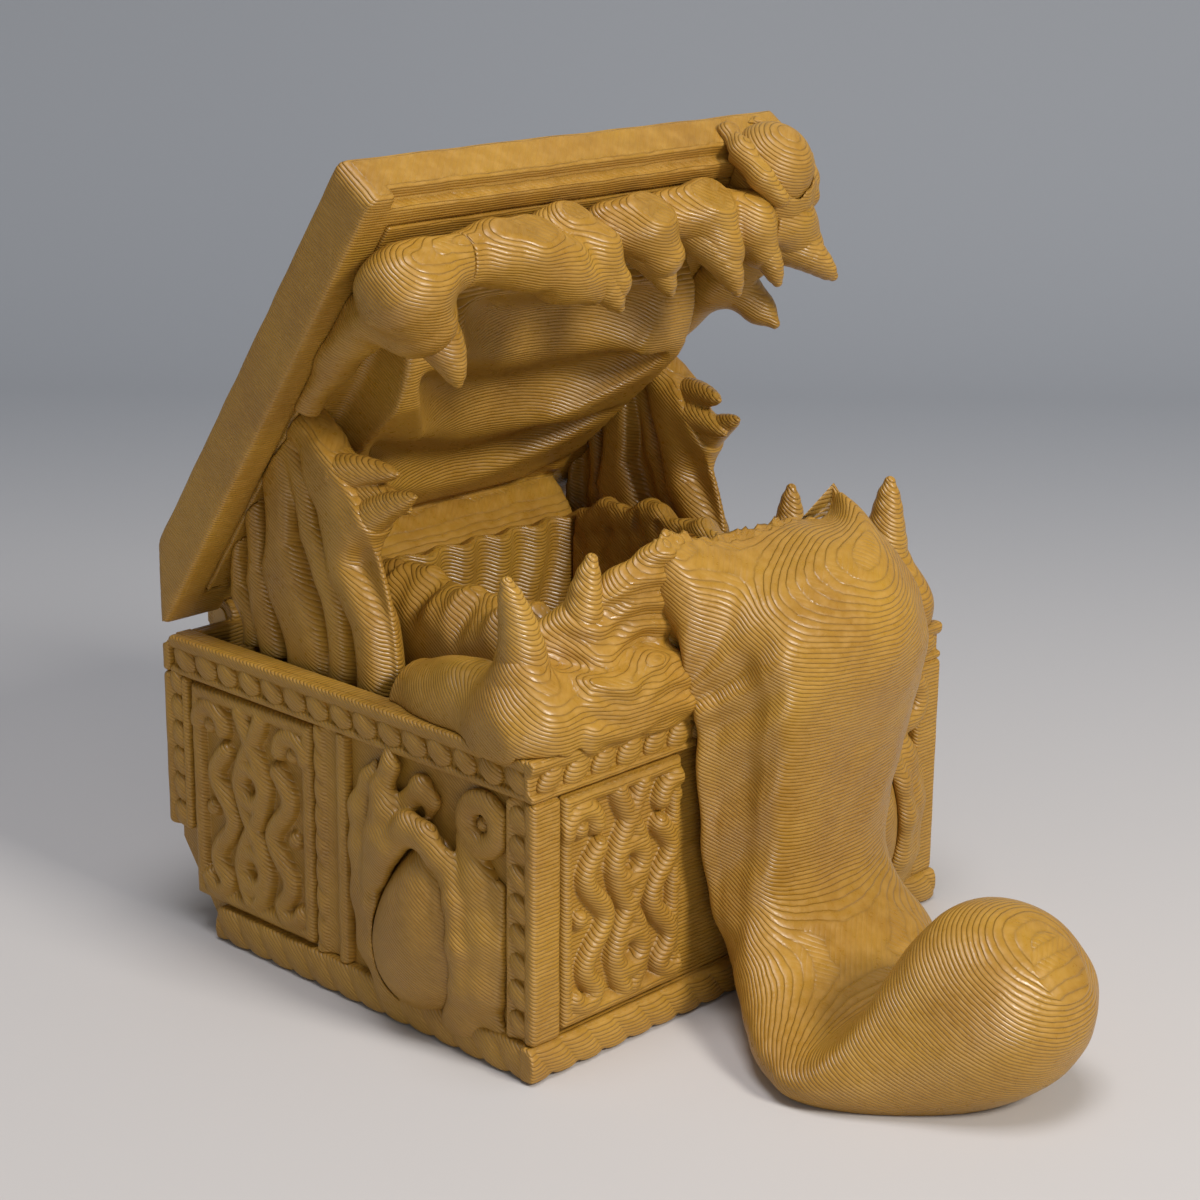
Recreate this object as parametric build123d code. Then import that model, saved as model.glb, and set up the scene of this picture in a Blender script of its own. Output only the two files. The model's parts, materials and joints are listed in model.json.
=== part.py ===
from build123d import *
import math
import os

# A small treasure chest with a toothed, tongued mouth: the well in the mouth holds dice.
# X runs to the right, +Y to the rear, +Z up.  Origin: middle of the footprint, on the table.

# ------------------------------------------------------------------ chest, outside (mm)
WIDTH = 48.0            # left face to right face, over the posts
DEPTH = 43.0            # front face to rear face, over the posts
HEIGHT = 25.0           # table to the top of the rails
RELIEF = 0.9            # posts, rails and straps stand this far off the walls
WALL = 1.4
FLOOR = 2.0
HEEL_RUN = 6.2          # the rear bottom edge is cut away: this much of the depth
HEEL_RISE = 8.5         # ... and this much of the height
PLINTH_HEIGHT = 2.8
PLINTH_STEP = 0.4       # the plinth stands off the posts
RAIL_HEIGHT = 3.2
POST_WIDTH = 3.0
STRAP_WIDTH = 4.0
STRAP_SHIFT = 1.0       # the side straps stand this far behind the middle
STRAP_LINE = 0.5        # width of the line cut along each edge of a strap
STRAP_LINE_IN = 0.55    # plain edge outside that line
STRAP_LINE_CUT = 0.3

# ------------------------------------------------------------------ rope and carving
ROPE_PITCH = 2.7
ROPE_GROOVE = 0.7
ROPE_SLANT = 0.9
ROPE_CUT = 0.45
ROPE_EDGE = 0.8         # plain edge beside a rope band
PANEL_PLATE = 0.3
CARVING = 0.5           # how far the carved strands stand off their plate
PANEL_GAP = 0.5         # panel plate to the frame round it
BAND = 0.9              # width of a carved strand
CHAIN_RING = 2.5        # radius of the rings in the middle chain

# ------------------------------------------------------------------ eyes on the walls
EYE_HALF_WIDTH = 4.6
EYE_HALF_HEIGHT = 6.0
EYE_BULGE = 3.3
EYE_HEIGHT = 9.3
EYELID = 1.1
EYELID_STEP = 1.5
EYELID_GAP = 0.3        # eyelids to the rail over them and the plinth under them
# leaves over the ball: across, above its top, turn, half width, half height
EYE_LEAVES = [(0.6, 3.2, -14, 1.7, 4.3), (-2.9, 0.8, 22, 1.3, 4.0)]
# dome of a ball: share of the bulge, share of the outline there
DOME = [(0, 1), (0.45, 0.89), (0.8, 0.6), (1, 0.22)]
DOME_SIDES = 20
FRONT_EYE = 15.2        # centre of the front eye, right of the middle

# ------------------------------------------------------------------ well for the dice
WELL_HALF_WIDTH = 12.0
WELL_REAR = 10.0        # the well's rear face, behind the middle
WELL_SIDE = 4.4
MARGIN_FALL = 2.2       # how far the cut margin's outer edge lies below its inner edge
# the tongue's cut margin: share of the way back along the well, height over the rails
MARGIN = [(0, 8.6), (0.42, 7.4), (0.74, 8.3), (1, 6.2)]
THROAT_DEEP = 4.5
THROAT_FALL = 2.6       # the throat slopes down to the rear by this much

# ------------------------------------------------------------------ lid and its hinge
LID_ANGLE = 54.7        # how far the lid stands open at rest
LID_LENGTH = 46.5
LID_THICK = 4.5
LID_BOARD = 2.2
LID_RIM = 3.0
LID_PANEL_CUT = 0.6
KNUCKLE_RADIUS = 1.8
KNUCKLE_COUNT = 5
KNUCKLE_SPAN = 36.0
KNUCKLE_GAP = 0.2
PIN_RADIUS = 0.875      # a length of 1.75 mm filament
PIN_RUNNING = 0.05
PIN_SEAT = 0.02
HINGE_CLEAR = 0.3       # moving pieces to fixed ones
SEAM = 0.1              # glue line between pieces that are fixed together

# ------------------------------------------------------------------ cheeks, palate, throat
CHEEK_INNER = 5.0       # radii about the hinge
CHEEK_OUTER = 25.0
CHEEK_WIDE = 4.4
CHEEK_CLEAR = 0.5
CHEEK_TUCK = 3.5        # degrees that a cheek reaches into its pocket at rest
SKIRT_OUTER = 8.7
SKIRT_WALL = 2.2
SKIRT_SWEEP = 70.0
PLEATS = 4
PLEAT_WEB = 1.1
PALATE_START = 10.0     # distance along the lid from the hinge
PALATE_STOP = 8.5       # the vault stops this far short of the roof's front edge
PALATE_SHALLOW = 0.5    # depth of the vault at its start
PALATE_DEEP = 6.4       # ... and at its end
PALATE_WALL = 1.5       # the vault's side walls at their feet
RUGA_COUNT = 2
RUGA_WIDTH = 2.0
RUGA_PROUD = 0.8
# down from the lid in degrees, distance from the middle, radius, length
CHEEK_TEETH = [(15.5, 18.4, 1.1, 4.6), (19.5, 19.8, 0.9, 4.0), (23.5, 18.0, 1.0, 4.4)]
CHEEK_TOOTH_LEAN = (0.25, 0.1)      # inwards and down, against one outwards

# ------------------------------------------------------------------ lower gums and fangs
FANG_SIDES = 8
GUM_SIDES = 12
SOCKET_CLEAR = 0.15
SOCKET_DEPTH = 1.0
GUM_RADIUS = 4.1
GUM_INSET = 4.6         # middle line of the gums in from the chest's side faces
GUM_BEHIND = 4.0        # and behind its front face
GUM_RISE = 1.2          # and over the rails
GUM_DROOP = 1.4         # how far the gums sag over the rails
GUM_FALL = 1.4          # how far they sink towards the cheeks
FRONT_GUM_SHARE = 0.85  # thickness of the front gum against the side gums
FRONT_GUM_DEEP = 4.7    # how far the front gum reaches back over the rim of the well
# lumps on each gum: inwards, behind its corner, radius, height
GUM_LUMPS = {
    "left": [(0, 1.0, 5.1, 8.4), (5.2, 0.4, 3.9, 7.4), (0.4, 8.8, 4.3, 6.9)],
    "right": [(0, 0.9, 4.9, 8.0)],
}
# fangs: inwards, behind and over the gum's corner; lean inwards and back; radius, length
LOWER_FANGS = {
    "left_corner_fang": (-1.6, 0.3, 3.0, -0.16, 0, 2.2, 8.4),
    "left_front_fang": (5.0, 0.5, 2.4, 0.04, -0.06, 2.3, 8.2),
    "left_small_fang": (10.4, -1.2, 1.6, 0.12, 0, 1.1, 4.2),
    "right_corner_fang": (-1.2, 0.2, 2.8, -0.1, 0, 2.1, 7.6),
    "right_small_fang": (-1.6, 5.2, 2.0, -0.12, 0.05, 1.4, 4.6),
    "right_side_fang": (-1.0, 9.8, 1.6, -0.1, 0.1, 1.8, 6.4),
}

# ------------------------------------------------------------------ upper gums and fangs
UPPER_GUM_RADIUS = 3.6
UPPER_GUM_INSET = 3.4   # middle line in from the edge of the roof
UPPER_GUM_DROP = 2.5    # and below the lid's rim
UPPER_LUMP = 3.2        # lump of gum round each front fang
CORNER_LUMP = 4.7       # and round the two corner fangs
# across, in from the lid's front edge, over its rim; lean across and to the hinge; radius, length
UPPER_FANGS = [
    (-17.6, 9.3, -4.7, 0.32, 0.50, 1.9, 4.3),
    (-4.6, 4.9, -3.6, 0.74, 0.60, 2.2, 5.9),
    (3.4, 5.1, -3.5, 0.70, 0.70, 1.8, 4.7),
    (10.6, 5.1, -4.2, 0.50, 0.60, 1.8, 5.0),
    (16.0, 5.3, -4.4, 0.50, 0.60, 1.5, 4.5),
    (21.6, 7.1, -4.0, 0.84, 0.14, 1.9, 5.6),
]
GUM_SPLIT = {"left": 15.9, "right": 18.4}     # joints between the upper gums
LID_EYE = (19.6, 2.1, -0.4)     # across, in from the lid's front edge, over its rim
LID_EYE_RADIUS = 3.3
LID_EYELID = 0.8
LID_EYE_TURN = (35, 25)         # how far its lids are tipped up and turned aside

# ------------------------------------------------------------------ tongue
TONGUE_LEFT = -7.2      # left edge of the tongue where it passes the rail
TONGUE_WIDE = 22.0
TONGUE_CLEAR = 0.25
TONGUE_SIDES = 16
# Stations down the tongue: datum for the height, distance ahead of the front face, height
# over that datum (on the shin a share of the chest's height), dip in degrees, middle from
# the tongue's middle at the rail, width against the width there, half thickness.
STATIONS = [
    ("rail", -2.6, 6.2, -2, -0.8, 1.02, 6.0),
    ("rail", -0.4, 6.9, 10, -0.6, 1.04, 6.1),
    ("rail", 1.8, 6.2, 28, -0.6, 1.05, 5.8),
    ("rail", 3.6, 4.2, 50, -0.6, 1.04, 5.1),
    ("rail", 4.4, 1.2, 72, -0.6, 1.02, 4.4),
    ("rail", 4.1, -3.0, 88, -0.8, 0.96, 3.6),
    ("shin", 3.6, 0.62, 92, -1.4, 0.86, 3.1),
    ("shin", 3.6, 0.42, 84, -1.6, 0.84, 3.1),
    ("table", 5.0, 6.8, 66, -1.6, 0.90, 3.4),
    ("table", 7.6, 4.0, 44, -2.2, 1.00, 3.5),
    ("table", 11.2, 2.2, 18, -4.2, 1.07, 3.1),
    ("table", 15.4, 1.6, 0, -5.6, 1.08, 3.0),
    ("table", 19.0, 2.8, -18, -5.6, 0.96, 4.8),
    ("table", 22.2, 5.4, -32, -5.0, 0.80, 6.8),
    ("table", 25.0, 8.0, -38, -4.5, 0.68, 7.2),
    ("table", 27.6, 10.0, -40, -4.1, 0.50, 5.4),
    ("table", 29.3, 11.2, -40, -3.9, 0.22, 2.4),
]

OUT = "parts"
FAR = 100.0             # beyond the whole model: for blocks that trim pieces

HALF_W = WIDTH / 2
HALF_D = DEPTH / 2
FACE_X = HALF_W - RELIEF        # outer faces of the walls
FACE_Y = HALF_D - RELIEF
INNER_X = FACE_X - WALL
INNER_Y = FACE_Y - WALL
HEEL_START = HALF_D - HEEL_RUN
HEEL_SLOPE = HEEL_RISE / HEEL_RUN
RAIL_BASE = HEIGHT - RAIL_HEIGHT
POCKET_INNER = WELL_HALF_WIDTH + WELL_SIDE
CHEEK_X0 = POCKET_INNER + CHEEK_CLEAR
CHEEK_X1 = CHEEK_X0 + CHEEK_WIDE
TRAY = LID_THICK - LID_BOARD
TRAY_START = CHEEK_INNER - LID_RIM / 3
TRAY_END = LID_LENGTH - LID_RIM
TRAY_HALF = HALF_W - LID_RIM
PALATE_END = TRAY_END - PALATE_STOP
LID_EYE_PLACE = (LID_EYE[0], LID_EYE[1] - LID_LENGTH, LID_EYE[2])

# u runs to the right along each face, v up it, and the plane looks outwards
SIDES = {
    "front": Plane(origin=(0, -FACE_Y, 0), x_dir=(1, 0, 0), z_dir=(0, -1, 0)),
    "rear": Plane(origin=(0, FACE_Y, 0), x_dir=(-1, 0, 0), z_dir=(0, 1, 0)),
    "left": Plane(origin=(-FACE_X, 0, 0), x_dir=(0, -1, 0), z_dir=(-1, 0, 0)),
    "right": Plane(origin=(FACE_X, 0, 0), x_dir=(0, 1, 0), z_dir=(1, 0, 0)),
}
HINGE = (0, HALF_D, HEIGHT)
LID_POSE = Pos(*HINGE) * Rot(-LID_ANGLE, 0, 0)     # local: -Y along the lid, +Z out of it

pieces = {}


def block(x, y, z):
    """A box from three (low, high) pairs."""
    corner = Pos(x[0], y[0], z[0])
    return corner * Box(x[1] - x[0], y[1] - y[0], z[1] - z[0], align=(Align.MIN,) * 3)


def across(points, x):
    """An outline in (y, z), extruded from x[0] to x[1]."""
    face = Plane.YZ.offset(x[0]) * make_face(Polyline(*points, close=True))
    return extrude(face, x[1] - x[0])


def hinge_rod(radius, x):
    """A round bar about the hinge line."""
    bar = Cylinder(radius, x[1] - x[0], align=(Align.CENTER, Align.CENTER, Align.MIN))
    return Pos(x[0], HINGE[1], HINGE[2]) * Rot(0, 90, 0) * bar


def one(shape):
    """The largest solid of a shape, so that a trimmed piece stays one piece."""
    solids = sorted(shape.solids(), key=lambda s: s.volume)
    return Part() + solids[-1]


def both_sides(name, shape):
    """Keep a left piece and its mirror image as the right one."""
    pieces["left_" + name] = shape
    pieces["right_" + name] = mirror(shape, about=Plane.YZ)


def oval(plane, u, v, sides):
    """Corners of a many-sided oval on a plane."""
    corners = []
    for i in range(sides):
        turn = 2 * math.pi * (i + 0.5) / sides
        corners.append(plane.from_local_coords((u * math.cos(turn), v * math.sin(turn), 0)))
    return corners


def faceted(rings):
    """A solid skinned with flat triangles between successive rings of corners."""
    faces = [Face(Wire.make_polygon(rings[0])), Face(Wire.make_polygon(rings[-1]))]
    for here, there in zip(rings, rings[1:]):
        for i in range(len(here)):
            after = (i + 1) % len(here)
            faces.append(Face(Wire.make_polygon([here[i], here[after], there[after]])))
            faces.append(Face(Wire.make_polygon([here[i], there[after], there[i]])))
    return Solid(Shell(faces))


def turned(plane, profile, sides):
    """A many-sided turning: (radius, height) pairs stacked up from a plane."""
    return faceted([oval(plane.offset(height), radius, radius, sides) for radius, height in profile])


# ---------------------------------------------------------------- floor, heel and walls
def heel_wedge(lift):
    """Everything under the sloped rear edge, raised by lift."""
    rise = HEEL_SLOPE * (FAR - HEEL_START)
    points = [(HEEL_START, lift), (FAR, lift + rise), (FAR, -FAR), (HEEL_START, -FAR)]
    return across(points, (-FAR, FAR))


def walls():
    inside = (-INNER_X, INNER_X)
    pieces["floor_plate"] = block(inside, (-INNER_Y, HEEL_START), (0, FLOOR))
    rise = HEEL_SLOPE * (FACE_Y - HEEL_START)
    heel = [(HEEL_START, 0), (FACE_Y, rise), (FACE_Y, rise + FLOOR), (HEEL_START, FLOOR)]
    pieces["heel_plate"] = across(heel, inside)
    pieces["front_wall"] = block(inside, (-FACE_Y, -INNER_Y), (0, HEIGHT))
    rear = block(inside, (INNER_Y, FACE_Y), (0, RAIL_BASE))
    pieces["rear_wall"] = rear - heel_wedge(FLOOR)
    left = block((-FACE_X, -INNER_X), (-FACE_Y, FACE_Y), (0, HEIGHT))
    both_sides("wall", left - heel_wedge(0))


# ---------------------------------------------------------------- rope mouldings
def rope_grooves(side, u, v, lift):
    """Slanted grooves across a moulding whose face stands lift off the wall."""
    plane = SIDES[side].offset(lift - ROPE_CUT)
    count = int((u[1] - u[0]) / ROPE_PITCH)
    spare = (u[1] - u[0] - count * ROPE_PITCH) / 2
    cuts = Part()
    for i in range(count):
        middle = u[0] + spare + (i + 0.5) * ROPE_PITCH
        low = middle - ROPE_SLANT / 2
        high = middle + ROPE_SLANT / 2
        half = ROPE_GROOVE / 2
        corners = [(low - half, v[0]), (low + half, v[0]), (high + half, v[1]), (high - half, v[1])]
        cuts += extrude(plane * make_face(Polyline(*corners, close=True)), 2 * ROPE_CUT)
    return cuts


def moulding(side, u, v, lift, rope):
    """A straight bar on a wall, with rope grooves over the band rope of its height."""
    width = u[1] - u[0]
    height = v[1] - v[0]
    sketch = Pos((u[0] + u[1]) / 2, (v[0] + v[1]) / 2) * Rectangle(width, height)
    bar = extrude(SIDES[side] * sketch, lift)
    return bar - rope_grooves(side, (u[0] + ROPE_EDGE, u[1] - ROPE_EDGE), rope, lift)


def plinths():
    lift = RELIEF + PLINTH_STEP
    tall = (0, PLINTH_HEIGHT)
    wide = FACE_X + lift
    pieces["front_plinth"] = moulding("front", (-wide, wide), tall, lift, tall)
    left = moulding("left", (-HEEL_START, FACE_Y), tall, lift, tall)
    both_sides("plinth", left)


def rails():
    tall = (RAIL_BASE, HEIGHT)
    beads = (RAIL_BASE + ROPE_EDGE, HEIGHT - ROPE_EDGE)
    pieces["front_rail"] = moulding("front", (-HALF_W, HALF_W), tall, RELIEF, beads)
    both_sides("rail", moulding("left", (-FACE_Y, FACE_Y), tall, RELIEF, beads))
    rear = block((-HALF_W, HALF_W), (FACE_Y, HALF_D), tall)
    rear += block((-INNER_X, INNER_X), (INNER_Y, FACE_Y), tall)
    pieces["rear_rail"] = one(with_knuckles(rear, 0))


def post(y, base):
    """An angle-section corner post, notched up its side face like a rope."""
    angle = block((-HALF_W, POST_WIDTH - HALF_W), y, (base, RAIL_BASE))
    angle -= block((-FACE_X, FACE_X), (-FACE_Y, FACE_Y), (0, HEIGHT))
    count = int((RAIL_BASE - base) / ROPE_PITCH)
    pitch = (RAIL_BASE - base) / count
    for i in range(count):
        middle = base + (i + 0.5) * pitch
        band = (y[0] + ROPE_EDGE, y[1] - ROPE_EDGE)
        notch = (middle - ROPE_GROOVE / 2, middle + ROPE_GROOVE / 2)
        angle -= block((-FAR, ROPE_CUT - HALF_W), band, notch)
    return angle


def posts():
    both_sides("front_post", post((-HALF_D, POST_WIDTH - HALF_D), PLINTH_HEIGHT))
    both_sides("rear_post", post((HALF_D - POST_WIDTH, HALF_D), HEEL_RISE))


def straps():
    """Flat straps over the side walls, with a line cut along each edge."""
    tall = RAIL_BASE - PLINTH_HEIGHT
    plane = SIDES["left"]
    middle = Pos(-STRAP_SHIFT, PLINTH_HEIGHT + tall / 2)
    strap = extrude(plane * middle * Rectangle(STRAP_WIDTH, tall), RELIEF)
    aside = (STRAP_WIDTH - STRAP_LINE) / 2 - STRAP_LINE_IN
    for u in (-aside, aside):
        line = middle * Pos(u, 0) * Rectangle(STRAP_LINE, tall - 2 * ROPE_EDGE)
        strap -= extrude(plane.offset(RELIEF - STRAP_LINE_CUT) * line, RELIEF)
    both_sides("strap", strap)


# ---------------------------------------------------------------- carved panels
def ring(radius, width):
    return RegularPolygon(radius, 8) - RegularPolygon(radius - width, 8)


def zigzag(u, height, swing, turns):
    """A carved strand that bends from side to side up a panel."""
    step = height / turns
    middle = [(u + swing * (1 if i % 2 else -1), -height / 2 + i * step) for i in range(turns + 1)]
    left = [(a - BAND / 2, b) for a, b in middle]
    right = [(a + BAND / 2, b) for a, b in middle]
    return make_face(Polyline(*left, *reversed(right), close=True))


def carving(width, height):
    """A framing band, a chain of linked rings up the middle and a wavy strand on each side."""
    sketch = Rectangle(width, height) - Rectangle(width - 2 * BAND, height - 2 * BAND)
    room = height - 4 * BAND
    count = max(1, int(room / (1.7 * CHAIN_RING)))
    pitch = room / count
    for i in range(count):
        sketch += Pos(0, -room / 2 + (i + 0.5) * pitch) * ring(CHAIN_RING, BAND)
    aside = (CHAIN_RING + width / 2) / 2
    for side in (-1, 1):
        sketch += zigzag(side * aside, height - BAND, side * BAND, 2 * count)
    return sketch


def panel(name, side, u, v):
    """A carved plate that lies on its wall, inside the frame of rails and posts."""
    width = u[1] - u[0] - 2 * PANEL_GAP
    height = v[1] - v[0] - 2 * PANEL_GAP
    middle = Pos((u[0] + u[1]) / 2, (v[0] + v[1]) / 2)
    plate = extrude(SIDES[side] * (middle * Rectangle(width, height)), PANEL_PLATE)
    strands = extrude(SIDES[side].offset(PANEL_PLATE) * (middle * carving(width, height)), CARVING)
    pieces[name + "_panel"] = one(plate + strands)


def panels():
    tall = (PLINTH_HEIGHT, RAIL_BASE)
    post = HALF_W - POST_WIDTH
    strap_rear = STRAP_WIDTH / 2 + STRAP_SHIFT
    panel("front", "front", (-post, TONGUE_LEFT - 0.3), tall)
    side = (strap_rear, HALF_D - POST_WIDTH)
    panel("left", "left", (-side[1], -side[0]), tall)
    pieces["left_panel"] = pieces["left_panel"] - heel_wedge(0)
    pieces["right_panel"] = mirror(pieces["left_panel"], about=Plane.YZ)
    panel("rear", "rear", (-post, post), (HEEL_RISE, RAIL_BASE))


# ---------------------------------------------------------------- eyes on the walls
def eye(name, side, u, room):
    """A smooth domed ball between leaf-shaped lids, in a field of wall 2 * room wide."""
    frame = SIDES[side] * Pos(u, EYE_HEIGHT)
    face = Plane(frame)
    dome = []
    for share, spread in DOME:
        plane = face.offset(EYE_BULGE * share)
        dome.append(oval(plane, EYE_HALF_WIDTH * spread, EYE_HALF_HEIGHT * spread, DOME_SIDES))
    pieces[name + "_eye"] = faceted(dome)

    lens = 2.0 * EYE_HALF_HEIGHT
    apart = lens - EYE_HALF_WIDTH - EYELID
    outline = (Pos(apart, 0) * Circle(lens)) & (Pos(-apart, 0) * Circle(lens))
    for u_leaf, v_leaf, turn, wide, tall in EYE_LEAVES:
        shift = Pos(u_leaf, EYE_HALF_HEIGHT + v_leaf) * Rot(0, 0, turn)
        leaf = (Pos(tall, 0) * Circle(tall + wide)) & (Pos(-tall, 0) * Circle(tall + wide))
        outline += shift * leaf
    field = Pos(0, (RAIL_BASE + PLINTH_HEIGHT) / 2 - EYE_HEIGHT)
    field *= Rectangle(2 * room, RAIL_BASE - PLINTH_HEIGHT - 2 * EYELID_GAP)
    hole = Ellipse(EYE_HALF_WIDTH + SOCKET_CLEAR, EYE_HALF_HEIGHT + SOCKET_CLEAR)
    pieces[name + "_eyelids"] = one(frame * extrude((outline & field) - hole, EYELID_STEP))


def eyes():
    post_edge = HALF_D - POST_WIDTH
    strap_edge = STRAP_WIDTH / 2 - STRAP_SHIFT
    room = (post_edge - strap_edge) / 2 - EYELID_GAP
    eye("left", "left", (post_edge + strap_edge) / 2, room)
    for part in ("_eye", "_eyelids"):
        pieces["right" + part] = mirror(pieces["left" + part], about=Plane.YZ)
    eye("front", "front", FRONT_EYE, room)


# ---------------------------------------------------------------- well sides and throat
def margin_profile(front, drop):
    """Side view of a well side: its floor, its rear edge and the uneven cut margin on top."""
    top = HEIGHT - drop
    step = [] if front == -INNER_Y else [(-INNER_Y, HEIGHT), (front, HEIGHT)]
    crest = [(front + share * (WELL_REAR - front), top + height) for share, height in MARGIN]
    return [(-INNER_Y, FLOOR)] + step + crest + [(WELL_REAR, FLOOR)]


def well_side(front):
    """A side of the well, whose top slopes down from the cut margin to the cheek's pocket."""
    inner = Plane.YZ.offset(-WELL_HALF_WIDTH) * make_face(Polyline(*margin_profile(front, 0), close=True))
    outer_line = Polyline(*margin_profile(front, MARGIN_FALL), close=True)
    outer = Plane.YZ.offset(-POCKET_INNER) * make_face(outer_line)
    return loft([outer, inner], ruled=True)


def well_and_throat():
    pieces["left_well_side"] = well_side(-INNER_Y + FRONT_GUM_DEEP)
    pieces["right_well_side"] = mirror(well_side(-INNER_Y), about=Plane.YZ)
    deep = WELL_REAR + THROAT_DEEP
    top = HEIGHT + MARGIN[-1][1] - PALATE_SHALLOW
    outline = [(WELL_REAR, FLOOR), (deep, FLOOR), (deep, top - THROAT_FALL), (WELL_REAR, top)]
    throat = across(outline, (-POCKET_INNER, POCKET_INNER))
    pieces["throat"] = throat - hinge_rod(SKIRT_OUTER + HINGE_CLEAR, (-FAR, FAR))


# ---------------------------------------------------------------- tongue
def station_plane(datum, ahead, height, dip, shift):
    base = {"rail": HEIGHT + height, "shin": HEIGHT * height, "table": height}[datum]
    middle = TONGUE_LEFT + TONGUE_WIDE / 2 + shift
    down = math.radians(dip)
    along = (0, -math.cos(down), -math.sin(down))
    return Plane(origin=(middle, -HALF_D - ahead, base), x_dir=(1, 0, 0), z_dir=along)


def tongue():
    """A tongue that leans over the front rail, hangs to the table and curls up at its tip."""
    sections = []
    for datum, ahead, height, dip, shift, spread, thick in STATIONS:
        plane = station_plane(datum, ahead, height, dip, shift)
        sections.append(oval(plane, spread * TONGUE_WIDE / 2, thick, TONGUE_SIDES))
    body = faceted(sections)
    body -= block((-FAR, FAR), (-FAR, FAR), (-FAR, 0))
    body -= block((-FAR, FAR), (-INNER_Y, FAR), (0, FAR))
    plinth_face = FACE_Y + RELIEF + PLINTH_STEP
    body -= block((-FAR, FAR), (-plinth_face, 0), (0, PLINTH_HEIGHT + TONGUE_CLEAR))
    chest = block((-HALF_W, HALF_W), (-HALF_D, HALF_D), (0, HEIGHT))
    pieces["tongue"] = one(body - chest)


# ---------------------------------------------------------------- fangs and gums
def fang(plane, radius, length):
    """A tapered fang with a blunt tip."""
    return turned(plane, [(radius, 0), (0.72 * radius, 0.5 * length), (0.16 * radius, length)], FANG_SIDES)


def socket(plane, radius):
    """Room for a fang's root, open outwards."""
    return turned(plane, [(radius + SOCKET_CLEAR, 0), (radius + SOCKET_CLEAR, 3 * radius)], FANG_SIDES)


def seat(gum, name, place, lean, radius, length):
    """Sink a flat-bottomed socket in a gum and stand a fang in it."""
    plane = Plane(origin=place, z_dir=lean)
    pieces[name] = fang(plane, radius, length)
    return gum - socket(plane, radius)


def mound(foot, aim, radius, height):
    """A lump of gum that stands on foot and points along aim."""
    profile = [(radius, 0), (0.88 * radius, 0.6 * height), (0.52 * radius, height)]
    return turned(Plane(origin=foot, z_dir=aim), profile, GUM_SIDES)


def bar(start, end, radius):
    """A bar of flesh between two points."""
    path = Vector(*end) - Vector(*start)
    return turned(Plane(origin=start, z_dir=path), [(radius, 0), (radius, path.length)], GUM_SIDES)


def lower_gum(side, turn):
    """A gum over one front corner of the chest: a bar back to the cheek, lumps and sockets."""
    x = turn * (HALF_W - GUM_INSET)
    y = GUM_BEHIND - HALF_D
    z = HEIGHT + GUM_RISE
    rear = HALF_D - CHEEK_OUTER - SOCKET_DEPTH
    flesh = bar((x, y, z), (x, rear, z - GUM_FALL), GUM_RADIUS)
    for inwards, behind, radius, height in GUM_LUMPS[side]:
        flesh += mound((x - turn * inwards, y + behind, HEIGHT - 2 * GUM_DROOP), (0, 0, 1), radius, height)
    if side == "left":
        flesh += bar((x, y, z), (TONGUE_LEFT, y, z), FRONT_GUM_SHARE * GUM_RADIUS)
    flesh -= block((-HALF_W, HALF_W), (-HALF_D, HALF_D), (0, HEIGHT))
    flesh -= block((-WELL_HALF_WIDTH, WELL_HALF_WIDTH), (-INNER_Y, FAR), (0, FAR))
    flesh -= block((-FAR, FAR), (-FAR, FAR), (0, HEIGHT - GUM_DROOP))
    flesh -= hinge_rod(CHEEK_OUTER + 2 * HINGE_CLEAR, (-FAR, FAR))
    return flesh


def lower_gums():
    """Gums over the front corners of the rim, each with three fangs in sockets."""
    gums = {"left": lower_gum("left", -1), "right": lower_gum("right", 1)}
    margin = POCKET_INNER + SEAM
    gums["left"] -= block((-margin, FAR), (FRONT_GUM_DEEP - INNER_Y - SEAM, FAR), (0, FAR))
    gums["left"] -= block((TONGUE_LEFT - TONGUE_CLEAR, FAR), (-FAR, FAR), (0, FAR))
    gums["right"] -= block((-FAR, margin), (-FAR, FAR), (0, FAR))
    for name, row in LOWER_FANGS.items():
        inwards, behind, over, lean_in, lean_back, radius, length = row
        side = name.split("_")[0]
        turn = -1 if side == "left" else 1
        x = turn * (HALF_W - GUM_INSET - inwards)
        place = (x, GUM_BEHIND - HALF_D + behind, HEIGHT + GUM_RISE + over)
        gums[side] = seat(gums[side], name, place, (-turn * lean_in, lean_back, 1), radius, length)
    for side, gum in gums.items():
        pieces[side + "_gum"] = one(gum)


# ---------------------------------------------------------------- hinge
def knuckle_spans(first):
    """The stretches of every second knuckle along the hinge."""
    pitch = KNUCKLE_SPAN / KNUCKLE_COUNT
    lows = [-KNUCKLE_SPAN / 2 + i * pitch for i in range(first, KNUCKLE_COUNT, 2)]
    return [(low + KNUCKLE_GAP / 2, low + pitch - KNUCKLE_GAP / 2) for low in lows]


def with_knuckles(shape, first):
    """Give a piece its own knuckles and clear room for those of the other side."""
    for x in knuckle_spans(1 - first):
        shape -= hinge_rod(KNUCKLE_RADIUS + HINGE_CLEAR, (x[0] - KNUCKLE_GAP, x[1] + KNUCKLE_GAP))
    for x in knuckle_spans(first):
        shape += hinge_rod(KNUCKLE_RADIUS, x)
    bore = PIN_RADIUS + (PIN_RUNNING if first else PIN_SEAT)
    return shape - hinge_rod(bore, (-KNUCKLE_SPAN / 2, KNUCKLE_SPAN / 2))


def hinge_pin():
    pieces["hinge_pin"] = hinge_rod(PIN_RADIUS, (-KNUCKLE_SPAN / 2, KNUCKLE_SPAN / 2))


# ---------------------------------------------------------------- lid
def along_lid(points, x):
    """An outline in (distance from the hinge, height over the rim), extruded across."""
    return across([(-s, off) for s, off in points], x)


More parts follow.
